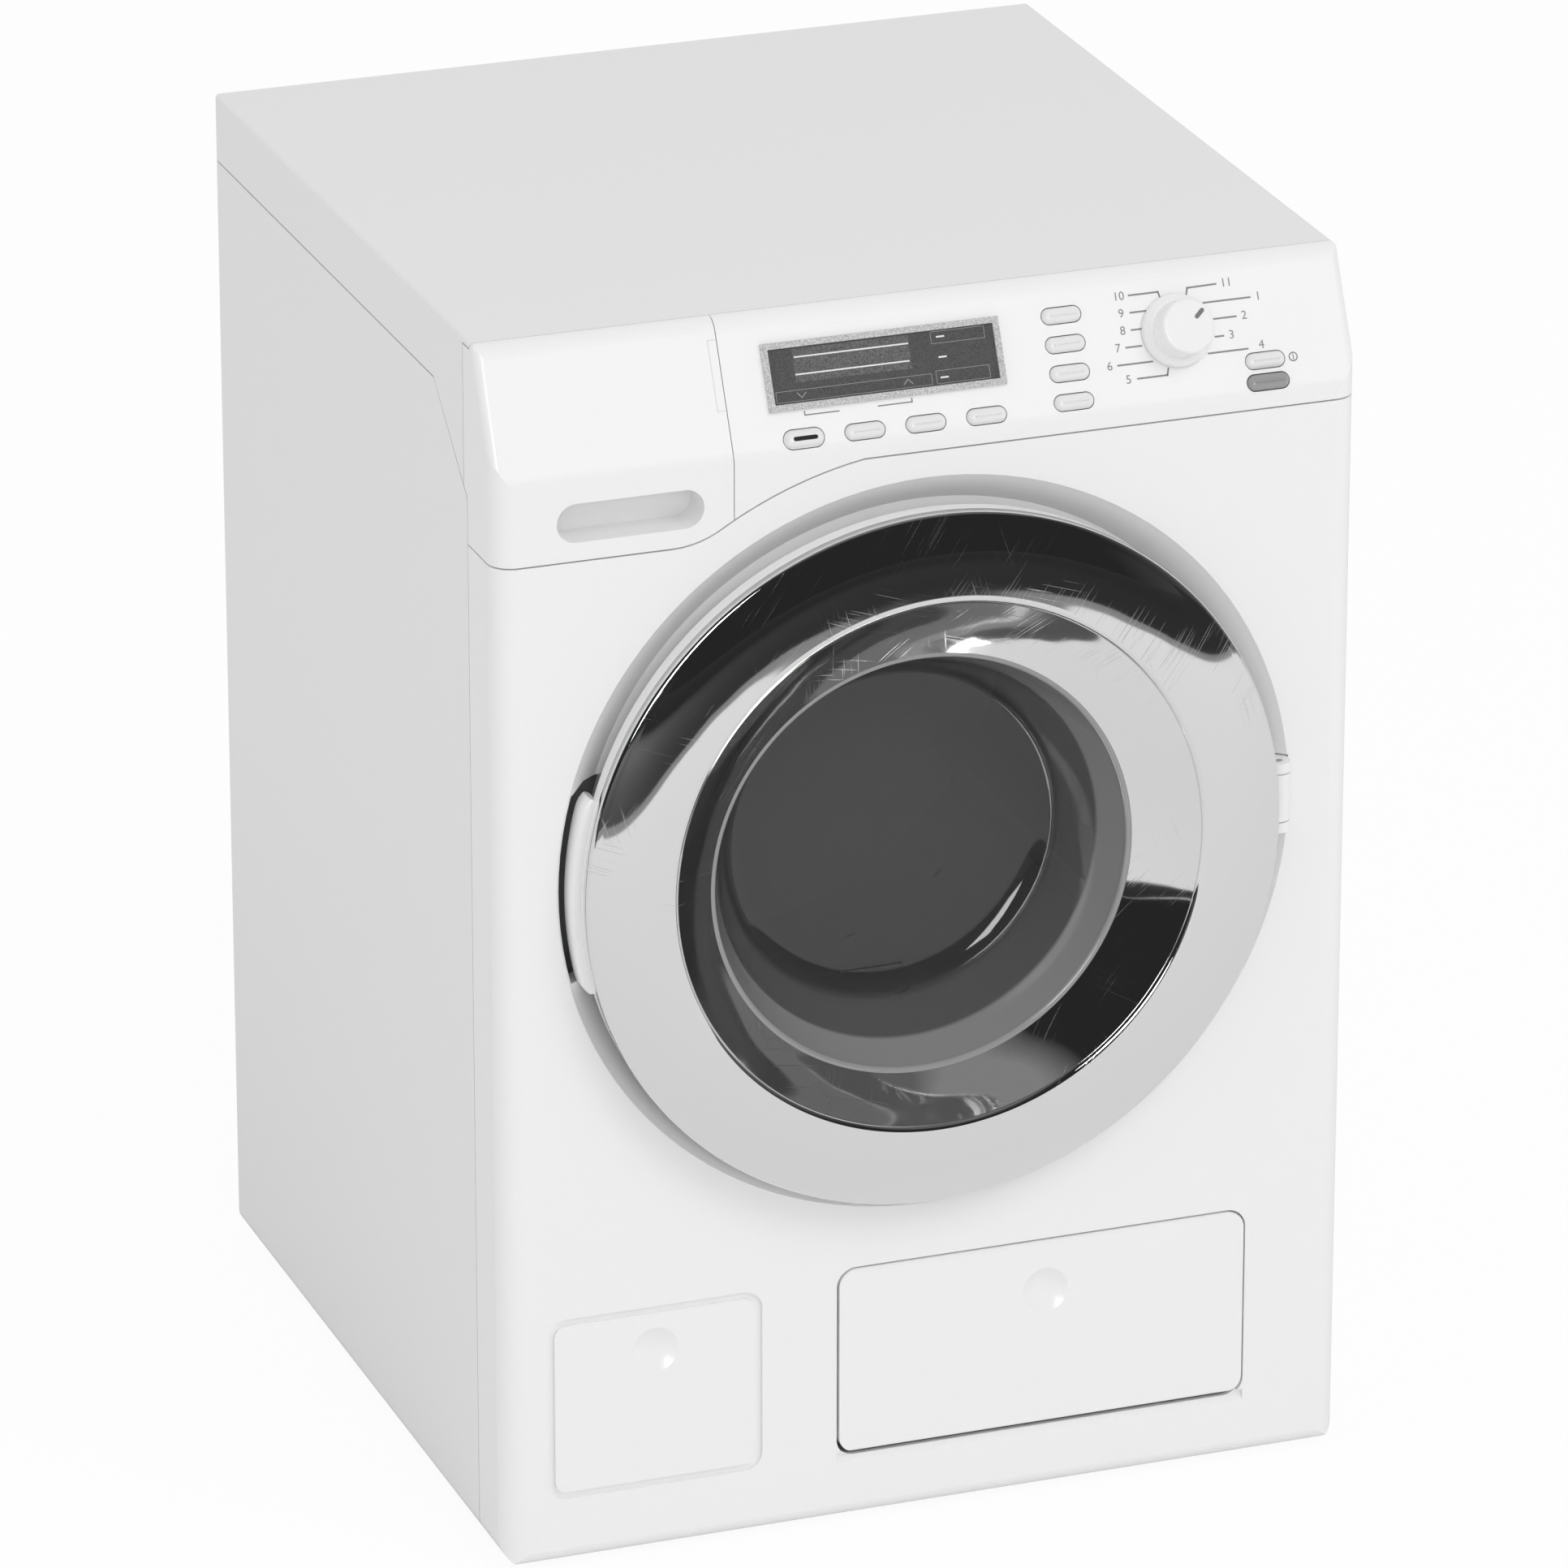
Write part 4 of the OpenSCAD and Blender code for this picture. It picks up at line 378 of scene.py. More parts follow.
@functools.cache
def finish(name):
    """The named finish, from the tables or from the colours that a user can change. It is made once."""
    if name in PLAIN:
        material, code, *grained = PLAIN[name]
        return plain_plastic(material, hex_linear(code), *grained)
    if name in FLAKED:
        material, dark, light, *rest = FLAKED[name]
        return metallic_ink(material, hex_linear(dark), hex_linear(light), *rest)
    c = bpy.context.scene.washer_colours
    white, plating = list(c.casing), list(c.plating)
    up = math.cos(sizes().lean)
    field = (FIELD_HALF_WIDTH * MM, crease_height() + FIELD_FOOT * MM * up,
             crease_height() + sizes().slope_rise * up)
    collar, corner = 9, 3.6             # where the pale collar ends and the bowl's corner starts
    zones = (front_face() + collar * MM, front_face() + (BOWL_DEPTH - corner) * MM)
    make, *values = {
        "gloss white ABS": (moulded_abs, "gloss_white_abs", white, 0.27),
        "white ABS skin": (moulded_abs, "casing_white_abs", shade(white, 0.97), 0.34),
        "printed white ABS": (printed_abs, "pad_printed_abs", white, list(c.print_field), 0.3, field),
        "pearl button ABS": (moulded_abs, "button_white_abs", shade(white, 0.93), 0.25, 0.2),
        "grey button ABS": (moulded_abs, "button_grey_abs", list(c.door_button), 0.25, 0.2),
        "dark lens": (moulded_abs, "dark_lens_abs", hex_linear("#2C2C2E"), 0.18, 0.1),
        "mark paint": (moulded_abs, "mark_paint", hex_linear("#7A7A7A"), 0.3, 0.2),
        "chrome plated ABS": (plated_abs, "chrome_plated_abs", plating, 0.04, 0.03),
        "wavy chrome": (plated_abs, "chrome_plated_cone", plating, 0.05, 0.16),
        "smoked styrene": (
            smoked_styrene, "smoked_styrene", list(c.smoke), list(c.smoke_side_painted_light), 0.04, zones),
        "grey ink": (plain_plastic, "grey_pad_ink", list(c.lettering), 0.4, 0.4, 0.002),
        "drum grey ABS": (plain_plastic, "drum_grey_abs", list(c.drum), 0.4, 1.4, 0.01, 0.03),
        "zinc plated steel": (drawn_metal, "zinc_plated_steel", hex_linear("#C4C7CB"), 0.3, (1, 1, 8)),
        "turned steel": (drawn_metal, "turned_steel", hex_linear("#BFC2C6"), 0.25, (1, 10, 1)),
        "battery sleeve": (battery_wrap, "battery_sleeve", hex_linear("#3E4B58"), hex_linear("#B08048")),
    }[name]
    return make(*values)


# Pieces


def dress(finish_name, *nodes):
    """Gives CAD nodes a finish."""
    for node in nodes:
        for holder in NODES[node].material_slots:
            holder.material = finish(finish_name)


def seat_piece(piece, body, finish_name, replaced=()):
    """Finishes a new piece: its material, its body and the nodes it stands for."""
    piece.data.materials.clear()
    piece.data.materials.append(finish(finish_name))
    if replaced:
        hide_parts(*replaced)
    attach(piece, body)


def link_object(name, data):
    """A new object in the scene for a mesh, a curve, a light or a camera."""
    made = bpy.data.objects.new(name, data)
    bpy.context.scene.collection.objects.link(made)
    return made


def evaluated_mesh(holder):
    """The mesh that an object comes to with its modifiers. The object itself is removed."""
    finished = holder.evaluated_get(bpy.context.evaluated_depsgraph_get())
    mesh = bpy.data.meshes.new_from_object(finished)
    bpy.data.objects.remove(holder)
    return mesh


def mesh_piece(name, bm, sharp_angle):
    """Turns a bmesh into a smooth-shaded object in the scene, in metres, with outward faces."""
    bmesh.ops.remove_doubles(bm, verts=bm.verts, dist=1e-7)
    bmesh.ops.recalc_face_normals(bm, faces=bm.faces)
    mesh = bpy.data.meshes.new(name)
    bm.to_mesh(mesh)
    bm.free()
    mesh.shade_smooth()
    mesh.set_sharp_from_angle(angle=math.radians(sharp_angle))
    return link_object(name, mesh)


@functools.cache
def front_face():
    """Y of the flat front of the casing."""
    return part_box("front_panel")[0].y


@functools.cache
def crease_height():
    """Z of the crease between the flat front and the sloping face."""
    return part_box("top_cover")[1].z - sizes().slope_rise


def slope_axes():
    """The ways out of the sloping fascia and up it."""
    lean = sizes().lean
    return Vector((0, -math.cos(lean), math.sin(lean))), Vector((0, math.sin(lean), math.cos(lean)))


def slope_point(x_mm, v_mm, off_mm=0.0):
    """A point on the sloping fascia: across, up the slope from its crease, and out of it."""
    out, up = slope_axes()
    crease = Vector((x_mm * MM, front_face(), crease_height()))
    return crease + up * (v_mm * MM) + out * (off_mm * MM)


def centre_of(node):
    """The middle of a CAD node's box."""
    low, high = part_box(node)
    return (low + high) / 2


def height_off_slope(node):
    """How far the highest flat of a node stands out of the sloping fascia, in millimetres."""
    out, _ = slope_axes()
    return max((v.co - slope_point(0, 0)).dot(out) for v in NODES[node].data.vertices) / MM


def front_point(x, z, proud_mm):
    """A point in front of the casing's flat front, or behind it where proud_mm is negative."""
    return Vector((x, front_face() - proud_mm * MM, z))


def round_point(centre, r_mm, turn, proud_mm):
    """A point at a radius and an angle round an axis that points forward."""
    return front_point(centre.x + r_mm * MM * math.cos(turn), centre.z + r_mm * MM * math.sin(turn), proud_mm)


def arc(cx, cy, r, start, end, steps):
    """Points of an arc, with its angles in degrees."""
    turns = [math.radians(start + (end - start) * i / steps) for i in range(steps + 1)]
    return [(cx + r * math.cos(turn), cy + r * math.sin(turn)) for turn in turns]


def span(values):
    """The middle of a spread of values, and half its width."""
    return (min(values) + max(values)) / 2, (max(values) - min(values)) / 2


def pill(half_long, r, steps):
    """Outline of a bar with round ends."""
    return arc(half_long, 0, r, -90, 90, steps) + arc(-half_long, 0, r, 90, 270, steps)


def skin(bm, rings, closed=False):
    """Joins rings of points. Closed, the last ring joins the first, or else a flat face ends each side."""
    rows = [[bm.verts.new(p) for p in ring] for ring in rings]
    for row, following in zip(rows, rows[1:] + (rows[:1] if closed else [])):
        for i in range(len(row)):
            j = (i + 1) % len(row)
            bm.faces.new((row[i], row[j], following[j], following[i]))
    if not closed:
        bm.faces.new(rows[0][::-1])
        bm.faces.new(rows[-1])


def skin_piece(name, rings, sharp_angle, closed=False):
    """A piece with one skin over rings of points."""
    bm = bmesh.new()
    skin(bm, rings, closed)
    return mesh_piece(name, bm, sharp_angle)


def round_ring(centre, r_mm, proud_mm):
    """A full circle of points round an axis that points forward."""
    steps = sizes().smoothness
    return [round_point(centre, r_mm, 2 * math.pi * k / steps, proud_mm) for k in range(steps)]


def revolve(name, profile, centre):
    """Turns a closed profile of (radius, proud) in millimetres round an axis that points forward."""
    return skin_piece(name, [round_ring(centre, r, p) for r, p in profile], 40, closed=True)


def strip(bm, points, width_mm, low_mm, high_mm):
    """A raised line on the slope: one closed bar for each stretch between (across, up) points."""
    half = width_mm / 2
    for (x0, v0), (x1, v1) in zip(points, points[1:]):
        length = math.hypot(x1 - x0, v1 - v0)
        ex, ev = (x1 - x0) / length * half, (v1 - v0) / length * half
        corners = [(x0 - ex - ev, v0 - ev + ex), (x1 + ex - ev, v1 + ev + ex),
                   (x1 + ex + ev, v1 + ev - ex), (x0 - ex + ev, v0 - ev - ex)]
        skin(bm, [[slope_point(x, v, level) for x, v in corners] for level in (low_mm, high_mm)])


def line_piece(name, lines, body, finish_name, base_mm=0.0, width_mm=None):
    """Prints lines in one ink, on the slope or on a face that stands base_mm out of it."""
    gap = 0.005
    bm = bmesh.new()
    for points in lines:
        strip(bm, points, width_mm or sizes().line_width / MM, base_mm + gap, base_mm + INK)
    seat_piece(mesh_piece(name, bm, 20), body, finish_name)


# Where the printing stands on the slope: millimetres across and up from the crease

DIAL_LINES = [
    [(45.8, 23.1), (52.1, 23.1), (52.4, 22.0)],
    [(45.6, 19.6), (48.9, 19.6)],
    [(45.3, 16.1), (47.4, 16.1)],
    [(43.6, 12.7), (46.9, 12.7)],
    [(41.3, 9.3), (48.7, 9.3)],
    [(45.1, 6.2), (51.5, 6.2), (51.9, 7.5)],
    [(58.1, 21.9), (58.5, 23.2), (64.7, 23.3)],
    [(61.5, 19.8), (71.6, 19.8)],
    [(63.2, 16.3), (68.0, 16.3)],
    [(63.0, 12.7), (64.7, 12.7)],
    [(61.0, 9.5), (69.5, 9.5)],
]
NUMERALS = [
    ("10", 43.6, 23.1), ("9", 43.6, 19.6), ("8", 43.4, 16.1), ("7", 41.8, 12.7), ("6", 39.5, 9.3),
    ("5", 43.1, 6.2), ("11", 67.0, 23.3), ("1", 73.4, 19.8), ("2", 69.8, 16.3), ("3", 66.5, 12.7),
    ("4", 72.6, 10.0),
]
BRACKETS = [[(-26.1, 7.9), (-26.1, 7.2), (-18.9, 7.2)], [(-10.5, 7.2), (-3.3, 7.2), (-3.3, 7.9)]]
# Each print in the display: piece, ink, how far its ground stands over the lens, line width, and its lines
DISPLAY_PRINTS = (
    ("display_lines", "white ink", FIELD_INK, 0.3,
     [[(-26.6, 18.9), (-2.6, 18.9)], [(-26.8, 15.4), (-2.8, 15.4)]]),
    ("display_dashes", "white ink", 0.0, 0.34,
     [[(3.8, 19.5), (5.2, 19.5)], [(3.7, 15.4), (5.1, 15.4)], [(3.5, 11.3), (4.9, 11.3)]]),
    ("display_arrows", "faint white ink", 0.0, 0.2,
     [[(-27.1, 11.7), (-26.2, 10.7), (-25.3, 11.7)], [(-4.5, 10.8), (-3.6, 11.8), (-2.7, 10.8)]]),
    ("display_boxes", "faint white ink", 0.0, 0.11,
     [[(x0, v0), (x1, v0), (x1, v1), (x0, v1), (x0, v0)] for x0, v0, x1, v1 in (
         (-31.6, 12.3, 1.5, 10.1), (2.5, 20.6, 13.9, 18.2), (2.5, 12.7, 13.9, 10.1))]),
)
DISPLAY_FIELD = (-27.0, 13.8, -2.3, 20.6)
DRAWER_LABEL = [[(-42.6, 24.3), (-44.1, 24.3), (-44.1, 10.0), (-42.6, 10.0)]]


# Operators, one for each group of pieces


class WASHER_OT_casing(bpy.types.Operator):
    """Finish the casing, its base, feet and battery door"""
    bl_idname = "washer.casing"
    bl_label = "Casing"

    def execute(self, context):
        dress("white ABS skin", "cabinet_shell", "top_cover", "base_plate", "battery_door")
        dress("gloss white ABS", "front_panel", "hinge_block")
        dress("foot rubber", "feet", "drain_plug", "drain_tube")
        dress("black moulding", "speaker", "battery_box")
        dress("battery sleeve", "battery_cells")
        dress("zinc plated steel", "battery_contacts", "hinge_pin")
        return {"FINISHED"}


class WASHER_OT_fascia(bpy.types.Operator):
    """Finish the fascia, its display, its dial and its buttons"""
    bl_idname = "washer.fascia"
    bl_label = "Fascia"

    def execute(self, context):
        dress("printed white ABS", "control_fascia", "drawer_front")
        dress("silver ink", "display_frame")
        dress("graphite ink", "display_window")
        dress("circuit laminate", "circuit_board")
        dress("silicone", "button_pad")
        dress("gloss white ABS", "program_knob")
        dress("mark paint", "knob_pointer")
        dress("pearl button ABS", "start_button", *WHITE_BUTTONS)
        dress("grey button ABS", "door_button")
        self.start_lens()
        for node in WHITE_BUTTONS:
            self.crown(node, "pearl button ABS")
        self.crown("door_button", "grey button ABS")
        return {"FINISHED"}

    def crown(self, node, finish_name):
        """The rounded top of a button, like a cushion, on the flat top of its CAD node."""
        sink, rise, steps = 0.02, 0.4, 9
        (out, up), start = slope_axes(), slope_point(0, 0)
        top = height_off_slope(node) - sink
        high = [v.co - start for v in NODES[node].data.vertices if (v.co - start).dot(out) > top * MM]
        v, half_v = span([p.dot(up) / MM for p in high])
        x, half_x = centre_of(node).x / MM, span([p.x / MM for p in high])[1]
        rings = []
        for step in range(steps):
            turn = math.radians(90 * step / steps)
            outline = pill(half_x - half_v, half_v * math.cos(turn), 14)
            rings.append([slope_point(x + a, v + b, top + rise * math.sin(turn)) for a, b in outline])
        seat_piece(skin_piece(node + "_crown", rings, 50), node, finish_name)

    def start_lens(self):
        """The dark light pipe that lies in the slot of the start button."""
        x, v, half_long, r = centre_of("start_button").x / MM, 2.6, 2.15, 0.44
        top = height_off_slope("start_button")
        rings = [[slope_point(x + a - math.copysign((1 - k) * r, a), v + b * k, top + level)
                  for a, b in pill(half_long, r, 10)]
                 for k, level in ((1.0, -0.48), (1.0, -0.15), (0.75, -0.02), (0.4, 0.03))]
        seat_piece(skin_piece("start_lens", rings, 50), "start_button", "dark lens")


class WASHER_OT_drawer(bpy.types.Operator):
    """Finish the drawer, its housing and the spout under it"""
    bl_idname = "washer.drawer"
    bl_label = "Drawer"

    def execute(self, context):
        dress("gloss white ABS", "drawer_tray")
        dress("white ABS skin", "drawer_housing", "fill_spout")
        return {"FINISHED"}


class WASHER_OT_flap(bpy.types.Operator):
    """Finish the service flap and the compartment behind it"""
    bl_idname = "washer.flap"
    bl_label = "Service flap"

    def execute(self, context):
        dress("gloss white ABS", "service_flap")
        dress("white ABS skin", "flap_compartment")
        return {"FINISHED"}


class WASHER_OT_drum(bpy.types.Operator):
    """Finish the drum, its tub, its seal and its drive"""
    bl_idname = "washer.drum"
    bl_label = "Drum and drive"

    def execute(self, context):
        dress("drum grey ABS", "drum_basket", "drum_lifters")
        dress("tub grey ABS", "water_tub")
        dress("seal rubber", "door_gasket")
        dress("natural acetal", "drum_gear", "motor_pinion", "tub_bushing")
        dress("zinc plated steel", "motor_bracket")
        dress("turned steel", "gear_motor", "drum_shaft")
        return {"FINISHED"}


class WASHER_OT_door(bpy.types.Operator):
    """Build the plated ring, the plated cone and the smoked window, and finish the rest of the door"""
    bl_idname = "washer.door"
    bl_label = "Door"

    def execute(self, context):
        dress("gloss white ABS", "door_back_shell", "door_latch_hook", "latch_clip")
        self.ring()
        self.cone()
        self.window()
        self.grip()
        return {"FINISHED"}

    def grip(self):
        """The white finger grip on the free edge of the door, which shows through the slot in the casing."""
        outline = [(74.2, 3.3), (75.6, 3.3), (76.3, 3.0), (76.6, 2.3), (76.6, -1.5), (75.9, -2.0),
                   (75.2, -1.5), (75.2, 1.2), (74.9, 1.8), (74.2, 1.8)]
        first, last, steps = 163.2, 195.6, 40
        tucks, tucked_from = (0.9, 0.35, 0.1), 75    # how far the ends draw in, past this radius
        rings = []
        for i in range(steps + 1):
            turn = math.radians(first + (last - first) * i / steps)
            end = min(i, steps - i)
            tuck = tucks[end] if end < len(tucks) else 0.0
            rings.append([round_point(centre_of("door_bezel"), r - tuck * (r > tucked_from), turn, p)
                          for r, p in outline])
        seat_piece(skin_piece("door_grip", rings, 40), "door", "gloss white ABS")

    def ring(self):
        """The face of the ring arches from a rounded outer edge up to a thin lip round the cone."""
        low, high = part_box("door_bezel")
        outer = (high.x - low.x) / 2 / MM
        inner, lip, edge, back, skin_mm = 56.6, 10.8, 7.6, 5.4, 1.2
        lip_r, edge_r, back_r = 1.3, 0.9, 0.25
        bulge = sizes().ring_bulge / MM
        start, stop, foot = outer - edge_r, inner + lip_r, edge + 0.45
        face, steps = [], 32
        for i in range(steps + 1):
            s = i / steps
            arch = bulge * math.sin(math.pi * s) * (1 - 0.25 * s)
            face.append((start + (stop - start) * s, foot + (lip - foot) * s + arch))
        under = [(r, p - skin_mm) for r, p in face[::-4]]
        profile = ([(outer - 1.1, back), (outer - back_r, back)]
                   + arc(outer - back_r, back + back_r, back_r, -90, 0, 3)[1:]
                   + arc(outer - edge_r, edge - 0.45, edge_r, 0, 72, 6) + face[1:]
                   + arc(inner + lip_r, lip - lip_r, lip_r, 96, 180, 10)
                   + [(inner, lip - 1.9), (inner + 1.0, lip - 1.9)] + under[1:])
        ring = revolve("door_ring", profile, centre_of("door_bezel"))
        seat_piece(ring, "door", "chrome plated ABS", ["door_bezel"])

    def cone(self):
        """The cone leans, because the window sits lower than the ring. Its face sags a little."""
        top, foot_centre = centre_of("door_bezel"), centre_of("door_window")
        wide, narrow, lip, foot, skin_mm, sag = 56.55, 45.7, 10.3, -0.5, 0.7, 0.5
        front, back, steps = [], [], 16
        for i in range(steps + 1):
            s = i / steps
            r = wide + (narrow - wide) * s
            p = lip + (foot - lip) * s - sag * math.sin(math.pi * s)
            middle = Vector((top.x, 0, top.z + (foot_centre.z - top.z) * s))
            front.append(round_ring(middle, r, p))
            back.append(round_ring(middle, r + skin_mm, p - skin_mm))
        cone = skin_piece("door_cone", front + back[::-1], 40, closed=True)
        seat_piece(cone, "door", "wavy chrome", ["door_inner_ring"])

    def window(self):
        """A smoked bowl: a flat rim under the cone, a steep side and a flat bottom with a soft corner."""
        low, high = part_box("door_window")
        rim = (high.x - low.x) / 2 / MM
        mouth, flat, wall, corner, rim_top, lip_r = 45.3, 31.2, 1.3, 7.5, -0.6, 0.8
        bottom, near_axis, steps = -BOWL_DEPTH, 0.02, 14
        slant = math.degrees(math.atan2(mouth - flat - corner, BOWL_DEPTH - corner - 2))
        outer = ([(rim, rim_top - 1.4), (mouth + 0.6, rim_top - 1.4)]
                 + arc(flat, bottom + corner, corner, -slant, -90, steps) + [(near_axis, bottom)])
        inner = ([(near_axis, bottom + wall)]
                 + arc(flat, bottom + corner, corner - wall, -90, -slant, steps)
                 + [(mouth - wall + 0.5, rim_top - 1.2)]
                 + arc(mouth - wall + 1.3, rim_top - lip_r, lip_r, 180, 90, 5) + [(rim, rim_top)])
        window = revolve("door_bowl", outer + inner, centre_of("door_window"))
        seat_piece(window, "door", "smoked styrene", ["door_window"])
        self.fill_line(bottom + wall)

    def fill_line(self, floor):
        """The raised line moulded on the inside of the bowl, which shows how high to fill."""
        x0, x1, z, rise, sink, half, bend, steps = -11.4, 2.3, 114.2, 0.45, 0.1, 0.25, 0.12, 12
        corners = ((-half, -sink), (half, -sink), (half / 2, rise), (-half / 2, rise))
        rings = []
        for i in range(steps + 1):
            x = x0 + (x1 - x0) * i / steps
            level = z - bend * math.sin(math.pi * i / steps)
            rings.append([front_point(x * MM, (level + up) * MM, floor + off) for up, off in corners])
        seat_piece(skin_piece("window_fill_line", rings, 35), "door", "smoked styrene")


SCREW_SIZES = ("Head radius", "Head height", "Shank radius", "Shank length")


def screw_tree():
    """Geometry Nodes: one cross-recess screw at each point of a mesh, realised, with its finish."""
    tree = bpy.data.node_groups.new("cross_recess_screws", "GeometryNodeTree")
    kinds = {"Geometry": "Geometry", **{name: "Float" for name in SCREW_SIZES},
             "Tilt": "Vector", "Finish": "Material"}
    for name, kind in kinds.items():
        tree.interface.new_socket(name=name, socket_type="NodeSocket" + kind, in_out="INPUT")
    tree.interface.new_socket(name="Geometry", socket_type="NodeSocketGeometry", in_out="OUTPUT")
    given = add_node(tree, "NodeGroupInput").outputs
    radius, height, shank_radius, length = (given[name] for name in SCREW_SIZES)

    def scaled(value, factor):
        return combine(tree, "MULTIPLY", value, factor)

    def vector(**axes):
        return output_of(tree, "ShaderNodeCombineXYZ", axes)

    def solid(kind, **inputs):
        return output_of(tree, "GeometryNodeMesh" + kind, inputs)

    def moved(geometry, **placing):
        return output_of(tree, "GeometryNodeTransform", {"Geometry": geometry, **placing})

    head = moved(solid("Cylinder", Vertices=32, Radius=radius, Depth=height),
                 Translation=vector(Z=scaled(height, -0.5)))
    cut = add_node(tree, "GeometryNodeMeshBoolean", {"operation": "DIFFERENCE"}, {"Mesh 1": head})
    for turn in (0.0, math.pi / 2):
        bar = solid("Cube", Size=vector(
            X=scaled(radius, 1.1), Y=scaled(radius, 0.24), Z=scaled(height, 0.9)))
        tree.links.new(moved(bar, Rotation=(0, 0, turn)), cut.inputs["Mesh 2"])
    shank = moved(solid("Cylinder", Vertices=24, Radius=shank_radius, Depth=length),
                  Translation=vector(Z=combine(tree, "SUBTRACT", scaled(length, -0.5), height)))
    screw = add_node(tree, "GeometryNodeJoinGeometry")
    for part in (cut.outputs["Mesh"], shank):
        tree.links.new(part, screw.inputs["Geometry"])
    points = output_of(tree, "GeometryNodeMeshToPoints", {"Mesh": given["Geometry"]})
    turned = output_of(tree, "FunctionNodeEulerToRotation", {"Euler": given["Tilt"]})
    placed = output_of(tree, "GeometryNodeInstanceOnPoints", {
        "Points": points, "Instance": screw.outputs[0], "Rotation": turned})
    real = output_of(tree, "GeometryNodeRealizeInstances", {"Geometry": placed})
    dressed = output_of(tree, "GeometryNodeSetMaterial", {"Geometry": real, "Material": given["Finish"]})
    add_node(tree, "NodeGroupOutput", inputs={"Geometry": dressed})
    return tree


def from_nodes(name, points, tree, values):
    """Runs a Geometry Nodes tree on loose points and returns the result as a plain mesh object."""
    seed = bpy.data.meshes.new(name + "_points")
    seed.from_pydata(points, [], [])
    holder = link_object(name + "_points", seed)
    modifier = holder.modifiers.new("screws", "NODES")
    modifier.node_group = tree
    for item in tree.interface.items_tree:
        if item.in_out == "INPUT" and item.name in values:
            modifier[item.identifier] = values[item.name]
    bm = bmesh.new()
    bm.from_mesh(evaluated_mesh(holder))
    return mesh_piece(name, bm, 30)


class WASHER_OT_screws(bpy.types.Operator):
    """Make the cross-recess screws of the casing, the door and the battery door"""
    bl_idname = "washer.screws"
    bl_label = "Screws"

    def execute(self, context):
        tree = screw_tree()
        # each group's sizes, in the order of SCREW_SIZES, in millimetres
        self.group(tree, "housing_screws", "cabinet", (math.pi, 0, 0), 2.8, 0.7, 1.35, 7.5)
        self.group(tree, "battery_door_screw", "cabinet", (-math.pi / 2, 0, 0), 2.8, 1.0, 1.5, 1.8)
        self.group(tree, "door_screws", "door", (-math.pi / 2, 0, 0), 2.6, 1.4, 1.25, 5.1)
        return {"FINISHED"}

    def group(self, tree, node, body, tilt, *lengths):
        """Puts a screw where each solid of a CAD node stands, with its head facing outwards."""
        outward = Matrix.Rotation(tilt[0], 3, "X") @ Vector((0, 0, 1))
        points = []
        for low, high in solid_boxes(NODES[node]):
            point = (low + high) / 2
            for axis in range(3):
                if abs(outward[axis]) > 0.5:
                    point[axis] = high[axis] if outward[axis] > 0 else low[axis]
            points.append(point)
        values = {name: length * MM for name, length in zip(SCREW_SIZES, lengths)}
        values.update({"Tilt": tilt, "Finish": finish("zinc plated steel")})
        piece = from_nodes(node + "_made", points, tree, values)
        seat_piece(piece, body, "zinc plated steel", [node])


def solid_boxes(node):
    """Lowest and highest corner of each separate solid in a CAD node."""
    bm = bmesh.new()
    bm.from_mesh(node.data)
    bmesh.ops.remove_doubles(bm, verts=bm.verts, dist=1e-6)
    left, boxes = set(bm.verts), []
    while left:
        group, queue = [], [left.pop()]
        while queue:
            vertex = queue.pop()
            group.append(vertex.co.copy())
            for edge in vertex.link_edges:
                other = edge.other_vert(vertex)
                if other in left:
                    left.discard(other)
                    queue.append(other)
        boxes.append([Vector([side(axis) for axis in zip(*group)]) for side in (min, max)])
    bm.free()
    return sorted(boxes, key=lambda b: tuple(b[0]))


